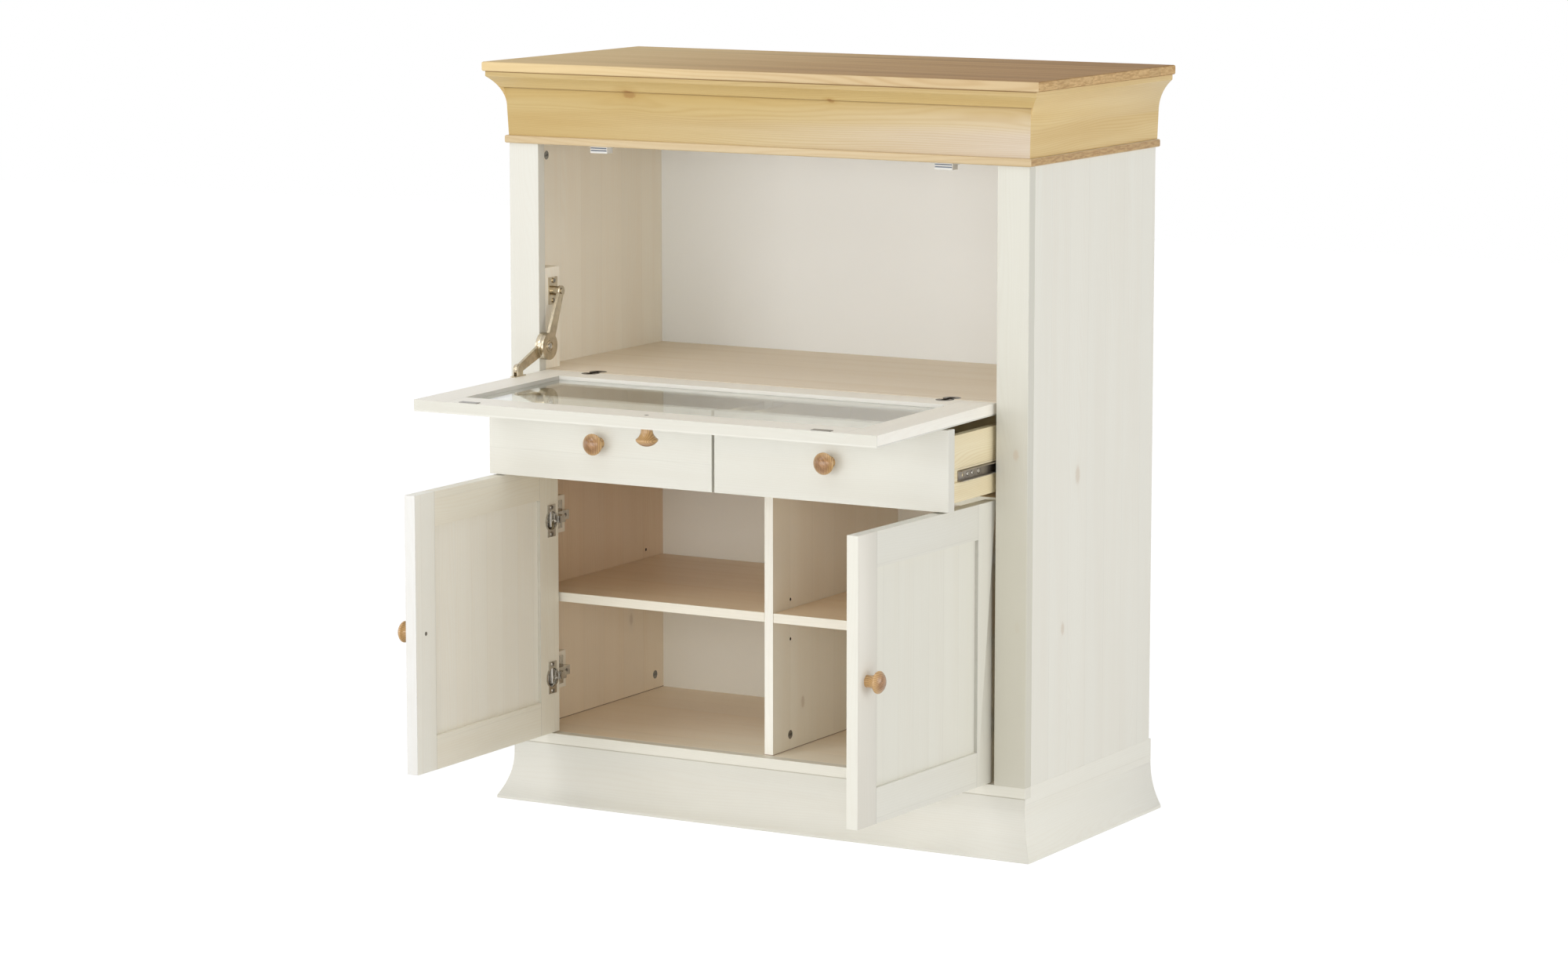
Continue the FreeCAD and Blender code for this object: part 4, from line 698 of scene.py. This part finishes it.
    # doors
    hinge_x, hinge_y = DOOR_AXIS
    left = frame_mask((0, -1, 0), (-hinge_x, hinge_y, 0), DOOR_OVERHANG, DOOR_WIDTH, DOOR_BORDER)
    angle = math.radians(RIGHT_DOOR_ANGLE)
    right_dir = (-math.cos(angle), -math.sin(angle), 0)
    right = frame_mask(right_dir, (hinge_x, hinge_y, 0), DOOR_OVERHANG, DOOR_WIDTH, DOOR_BORDER)
    shell = (WHITE["pale"], WHITE["dark"])
    # Painted light: the free stile of the open left door is paler than the rest of its inner face.
    outer = ((beyond((0, -1, 0), LEFT_STILE), ((249, 247, 238), (242, 237, 223))),
             (beyond((-1, 0, 0), LEFT_OUTSIDE), shell),
             (beyond((0, -1, 0), LEFT_FREE_EDGE), ((228, 227, 223), (223, 220, 213))))
    dress("door_left_frame", wood("lined_door_left", Z, Y, plank=0.2, seed=0.23, masks=left,
                                  zones=outer, **LINED))
    face = ((228, 226, 215), (223, 219, 206))
    free = ((beyond(right_dir, RIGHT_STILE), ((222, 218, 207), (217, 212, 199))),
            (beyond(right_dir, RIGHT_FREE_EDGE), face))
    dress("door_right_frame", w("white_door_right", Z, right_dir, plank=0.2, seed=0.27, masks=right,
                                pale=face[0], dark=face[1], zones=free))
    lining = ((251, 247, 235), (244, 236, 219))
    dress("door_left_panel", wood("lined_panel_left", Z, Y, plank=0.047, seed=0.29,
                                  zones=((beyond((1, 0, 0), -PANEL_MIDDLE), lining),
                                         (beyond((-1, 0, 0), PANEL_MIDDLE), shell)), **LINED))
    dress("door_right_panel", w("white_panel_right", Z, right_dir, plank=0.047, seed=0.35,
                                pale=(231, 229, 217), dark=(226, 222, 208)))
    # flap
    outside = beyond((0, 0.01309, -1), -0.7269)
    rim = ((beyond((0, -1, 0), FLAP_FREE_EDGE), ((216, 214, 203), (211, 207, 194))), (outside, shell))
    # The flap's frame takes EDGE, a paler copy of the white paint, on its upper face: painted light.
    dress("flap_frame", w("white_flap", Y, X, plank=0.4, seed=0.45, masks=flap_mask(FLAP_BORDER),
                          zones=rim, **EDGE))
    dress("flap_glass", clear_glass())
    # knobs
    for node, axis in (("flap_knob", (0, 0, -1)), ("door_left_knob", (-1, 0, 0)),
                       ("door_right_knob", (1, 0, 0)), ("drawer_left_knob", (0, -1, 0)),
                       ("drawer_right_knob", (0, -1, 0))):
        low_c, high_c = box_of(node)
        dress(node, knob_material(node + "_wood", tuple((low_c + high_c) / 2), axis))
    # fittings
    nickel = metal("nickel_satin", (205, 192, 168), 0.26)
    bright = metal("nickel_bright", (206, 202, 194), 0.16)
    for node in ("stay_wall_bracket", "stay_flap_bracket", "stay_upper_arm", "stay_lower_arm"):
        dress(node, nickel)
    for node in ("door_hinge_arms", "door_left_hinge_cups", "door_right_hinge_cups"):
        dress(node, bright)
    zinc = metal("zinc_matt", (150, 148, 142), 0.38)
    for node in ("connector_housings", "shelf_pins", "flap_strike_plates"):
        dress(node, zinc)
    dark = metal("slide_dark", (92, 86, 78), 0.34)
    for node in ("worktop_hinge_cups", "flap_hinge_cups"):
        dress(node, dark)
    slide = metal("slide_grey", (166, 158, 148), 0.42)
    for node in ("drawer_runners", "drawer_left_slides", "drawer_right_slides"):
        dress(node, slide)
    dress("magnetic_catches", catch_material())
    return bright, zinc


def ease_all():
    """Eased edges of the boards and of the sturdier fittings."""
    boards = ("side_panel_right", "side_panel_left", "face_stile_right", "face_stile_left",
              "lower_front_rail", "centre_divider", "shelf_left", "shelf_right", "drawer_deck",
              "drawer_partition", "worktop", "crown_front", "crown_left", "crown_right",
              "plinth_front", "plinth_left", "plinth_right", "mounting_blocks", "drawer_left_front",
              "drawer_right_front", "door_left_frame", "door_right_frame", "flap_frame",
              "drawer_left_box", "drawer_right_box")
    for node in boards:
        ease(node, BOARD_EDGE)
    for node in ("stay_upper_arm", "stay_lower_arm", "magnetic_catches", "door_hinge_arms"):
        ease(node, METAL_EDGE)


# Screws, nails and the like
def cross(size):
    """Radius of a cross recess by angle."""
    def radius(angle):
        turn = abs((angle + math.pi / 4) % (math.pi / 2) - math.pi / 4)
        return size if turn < 0.15 else size * (0.5 if turn < 0.3 else 0.34)
    return radius


def hexagon(size):
    """Radius of a hexagonal recess by angle."""
    return lambda angle: size / math.cos((angle + math.pi / 6) % (math.pi / 3) - math.pi / 6)


def turned(bm, place, axis, rings, spin=0.0, count=48):
    """A closed turned form that stands on a place, from rings of a radius and a height."""
    frame_of = Vector(axis).normalized().to_track_quat("Z", "Y").to_matrix().to_4x4()
    frame_of.translation = Vector(place)
    loops = []
    for radius, height in rings:
        loop = []
        for k in range(count):
            angle = 2 * math.pi * k / count
            r = radius(angle) if callable(radius) else radius
            spot = Vector((r * math.cos(angle + spin), r * math.sin(angle + spin), height))
            loop.append(bm.verts.new(frame_of @ spot))
        loops.append(loop)
    for lower, upper in zip(loops, loops[1:]):
        for k in range(count):
            n = (k + 1) % count
            bm.faces.new((lower[k], lower[n], upper[n], upper[k]))
    bm.faces.new(list(reversed(loops[0])))
    bm.faces.new(loops[-1])


def screw(bm, place, axis, radius, height, spin=0.3, recess=cross):
    """A low screw head with its recess."""
    turned(bm, place, axis, ((radius, 0), (radius, height * 0.35), (radius * 0.93, height * 0.72),
                             (radius * 0.78, height * 0.95), (recess(radius * 0.62), height),
                             (recess(radius * 0.5), height * 0.2)), spin)


def piece(name, bm, body, material):
    """Makes an object of a mesh, which rides on a body."""
    mesh = bpy.data.meshes.new(name)
    bm.to_mesh(mesh)
    bm.free()
    mesh.materials.append(material)
    mesh.polygons.foreach_set("use_smooth", [True] * len(mesh.polygons))
    mesh.set_sharp_from_angle(angle=math.radians(SHARP_ANGLE))
    obj = bpy.data.objects.new(name, mesh)
    scene.collection.objects.link(obj)
    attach(obj, body)


def swung(bm, centre, degrees, axis):
    """Turns everything in a mesh about a hinge."""
    matrix = Matrix.Rotation(math.radians(degrees), 4, axis)
    bmesh.ops.rotate(bm, cent=centre, matrix=matrix, verts=bm.verts)


def fittings(bright, zinc):
    """Screws and nails, each a mesh that rides on its body."""
    # doors: two screws in each cup flange and the knob's screw, drawn closed and swung open
    for side, sign, degrees in (("left", -1, -LEFT_DOOR_ANGLE), ("right", 1, RIGHT_DOOR_ANGLE)):
        bm = bmesh.new()
        for height in HINGE_HEIGHTS:
            for step in (-CUP_SCREW_STEP, CUP_SCREW_STEP):
                x, y = CUP_SCREW_PLACE
                screw(bm, (sign * x, y, height + step), Y, *CUP_SCREW, spin=height * 7 + step)
        x, y = DOOR_KNOB_PLACE
        screw(bm, (sign * x, y, DOOR_KNOB_HEIGHT), Y, *DOOR_KNOB_SCREW)
        swung(bm, (sign * DOOR_AXIS[0], DOOR_AXIS[1], 0), degrees, "Z")
        piece(f"door_{side}_screws", bm, f"door_{side}", zinc)
        # drawers: the knob's screw and the slides' screws
        bm = bmesh.new()
        x, y, z = DRAWER_KNOB_PLACE
        screw(bm, (sign * x, y, z), Y, *DRAWER_KNOB_SCREW)
        for face, outward in zip(SLIDE_FACES, (sign, -sign)):
            for back, radius in SLIDE_SCREWS:
                screw(bm, (sign * face, SLIDE_START + back, SLIDE_HEIGHT), (outward, 0, 0), radius,
                      SLIDE_SCREW_HEIGHT, spin=back * 40)
        piece(f"drawer_{side}_screws", bm, f"drawer_{side}", bright)
    # carcass: hinge arms, wall bracket of the stay, ears of the catches
    bm = bmesh.new()
    for sign in (-1, 1):
        for height in HINGE_HEIGHTS:
            for step in (-ARM_SCREW_STEP, ARM_SCREW_STEP):
                x, y = ARM_SCREW_PLACE
                screw(bm, (sign * x, y, height + step), (-sign, 0, 0), *ARM_SCREW, spin=step * 30)
            for y in ARM_ADJUSTER_PLACES:
                screw(bm, (sign * ARM_ADJUSTER_FACE, y, height), (-sign, 0, 0), *ARM_ADJUSTER,
                      spin=y * 11)
        for x in CATCH_EARS:
            screw(bm, (sign * x, *CATCH_SEAT), (0, 0, -1), *CATCH_SCREW, spin=x * 9)
    for z in BRACKET_HEIGHTS:
        screw(bm, (*BRACKET_PLACE, z), X, *BRACKET_SCREW, spin=z * 5)
    piece("carcass_screws", bm, "carcass", zinc)
    # stay: the hexagonal adjusting screw in the ring of the hub
    bm = bmesh.new()
    screw(bm, HUB_PLACE, X, *HUB_SCREW, recess=hexagon)
    piece("stay_hub_screw", bm, "stay_upper", bright)
    # flap: screw of the knob, drawn level and let down to the sag
    bm = bmesh.new()
    screw(bm, FLAP_KNOB_PLACE, Z, *FLAP_KNOB_SCREW)
    swung(bm, FLAP_AXIS, FLAP_SAG, "X")
    piece("flap_knob_screw", bm, "flap", zinc)
    # back: nails around the edge of the thin board
    (left, _, low), (right, behind, high) = box_of("back_panel")
    bm = bmesh.new()
    across, upward = NAIL_GAPS
    for k in range(across + 1):
        x = left + NAIL_INSET + (right - left - 2 * NAIL_INSET) * k / across
        for z in (low + NAIL_INSET, high - NAIL_INSET):
            turned(bm, (x, behind, z), Y, NAIL, count=NAIL_SIDES)
    for k in range(1, upward):
        z = low + NAIL_INSET + (high - low - 2 * NAIL_INSET) * k / upward
        for x in (left + NAIL_INSET, right - NAIL_INSET):
            turned(bm, (x, behind, z), Y, NAIL, count=NAIL_SIDES)
    piece("back_nails", bm, "carcass", zinc)


# Surroundings
def stage():
    """Pale floor and a world that look white to the camera and in reflections."""
    g = Graph("floor_pale")
    path = g.node("ShaderNodeLightPath")
    seen = g.math("MAXIMUM", path.outputs["Is Camera Ray"],
                  g.math("MAXIMUM", path.outputs["Is Glossy Ray"], path.outputs["Is Transmission Ray"]))
    diffuse = g.node("ShaderNodeBsdfDiffuse")
    diffuse.inputs["Color"].default_value = (0.9, 0.9, 0.9, 1)
    glow = g.node("ShaderNodeEmission")
    glow.inputs["Strength"].default_value = 1.2
    blend = g.node("ShaderNodeMixShader")
    g.put(blend.inputs[0], g.mul(seen, 0.8))
    g.tree.links.new(diffuse.outputs[0], blend.inputs[1])
    g.tree.links.new(glow.outputs[0], blend.inputs[2])
    g.tree.links.new(blend.outputs[0], g.out.inputs["Surface"])
    mesh = bpy.data.meshes.new("floor")
    mesh.from_pydata([(-9, -9, 0), (9, -9, 0), (9, 9, 0), (-9, 9, 0)], [], [(0, 1, 2, 3)])
    mesh.materials.append(g.mat)
    floor = bpy.data.objects.new("floor", mesh)
    scene.collection.objects.link(floor)

    world = bpy.data.worlds.new("studio")
    scene.world = world
    world.use_nodes = True
    tree = world.node_tree
    tree.nodes.clear()
    out = tree.nodes.new("ShaderNodeOutputWorld")
    back = tree.nodes.new("ShaderNodeBackground")
    path = tree.nodes.new("ShaderNodeLightPath")
    peak = tree.nodes.new("ShaderNodeMath")
    peak.operation = "MAXIMUM"
    peak2 = tree.nodes.new("ShaderNodeMath")
    peak2.operation = "MAXIMUM"
    tree.links.new(path.outputs["Is Camera Ray"], peak.inputs[0])
    tree.links.new(path.outputs["Is Glossy Ray"], peak.inputs[1])
    tree.links.new(peak.outputs[0], peak2.inputs[0])
    tree.links.new(path.outputs["Is Transmission Ray"], peak2.inputs[1])
    level = tree.nodes.new("ShaderNodeMapRange")
    level.inputs["To Min"].default_value = 0.36
    level.inputs["To Max"].default_value = 1.0
    tree.links.new(peak2.outputs[0], level.inputs["Value"])
    tree.links.new(level.outputs[0], back.inputs["Strength"])
    back.inputs["Color"].default_value = (1, 1, 1, 1)
    tree.links.new(back.outputs[0], out.inputs["Surface"])


def lamp(name, place, target, size, power):
    """A soft rectangular lamp aimed at a target."""
    data = bpy.data.lights.new(name, "AREA")
    data.shape = "RECTANGLE"
    data.size, data.size_y = size
    data.energy = power
    obj = bpy.data.objects.new(name, data)
    scene.collection.objects.link(obj)
    obj.location = place
    aim = Vector(target) - Vector(place)
    obj.rotation_euler = aim.to_track_quat("-Z", "Y").to_euler()


def lights():
    lamp("front", (-0.5, -4.0, 0.85), (0, 0, 0.6), (3.4, 1.7), 47)
    lamp("side", (4.6, -0.5, 1.4), (0, 0, 0.6), (2.8, 2.8), 62)
    lamp("top", (0.2, -1.6, 4.2), (0, 0, 1.0), (3.0, 3.0), 33)
    lamp("high_left", (-1.6, -3.6, 3.2), (0, 0, 0.6), (1.6, 1.6), 26)
    lamp("low_left", (-3.8, -2.4, 1.4), (0, 0, 0.6), (1.8, 1.8), 18)
    lamp("fill", (3.0, -5.2, 1.4), (0, 0, 0.5), (1.6, 1.6), 33)


make_camera()
BRIGHT, ZINC = dress_all()
ease_all()
fittings(BRIGHT, ZINC)
stage()
lights()
scene.view_settings.view_transform = "Standard"
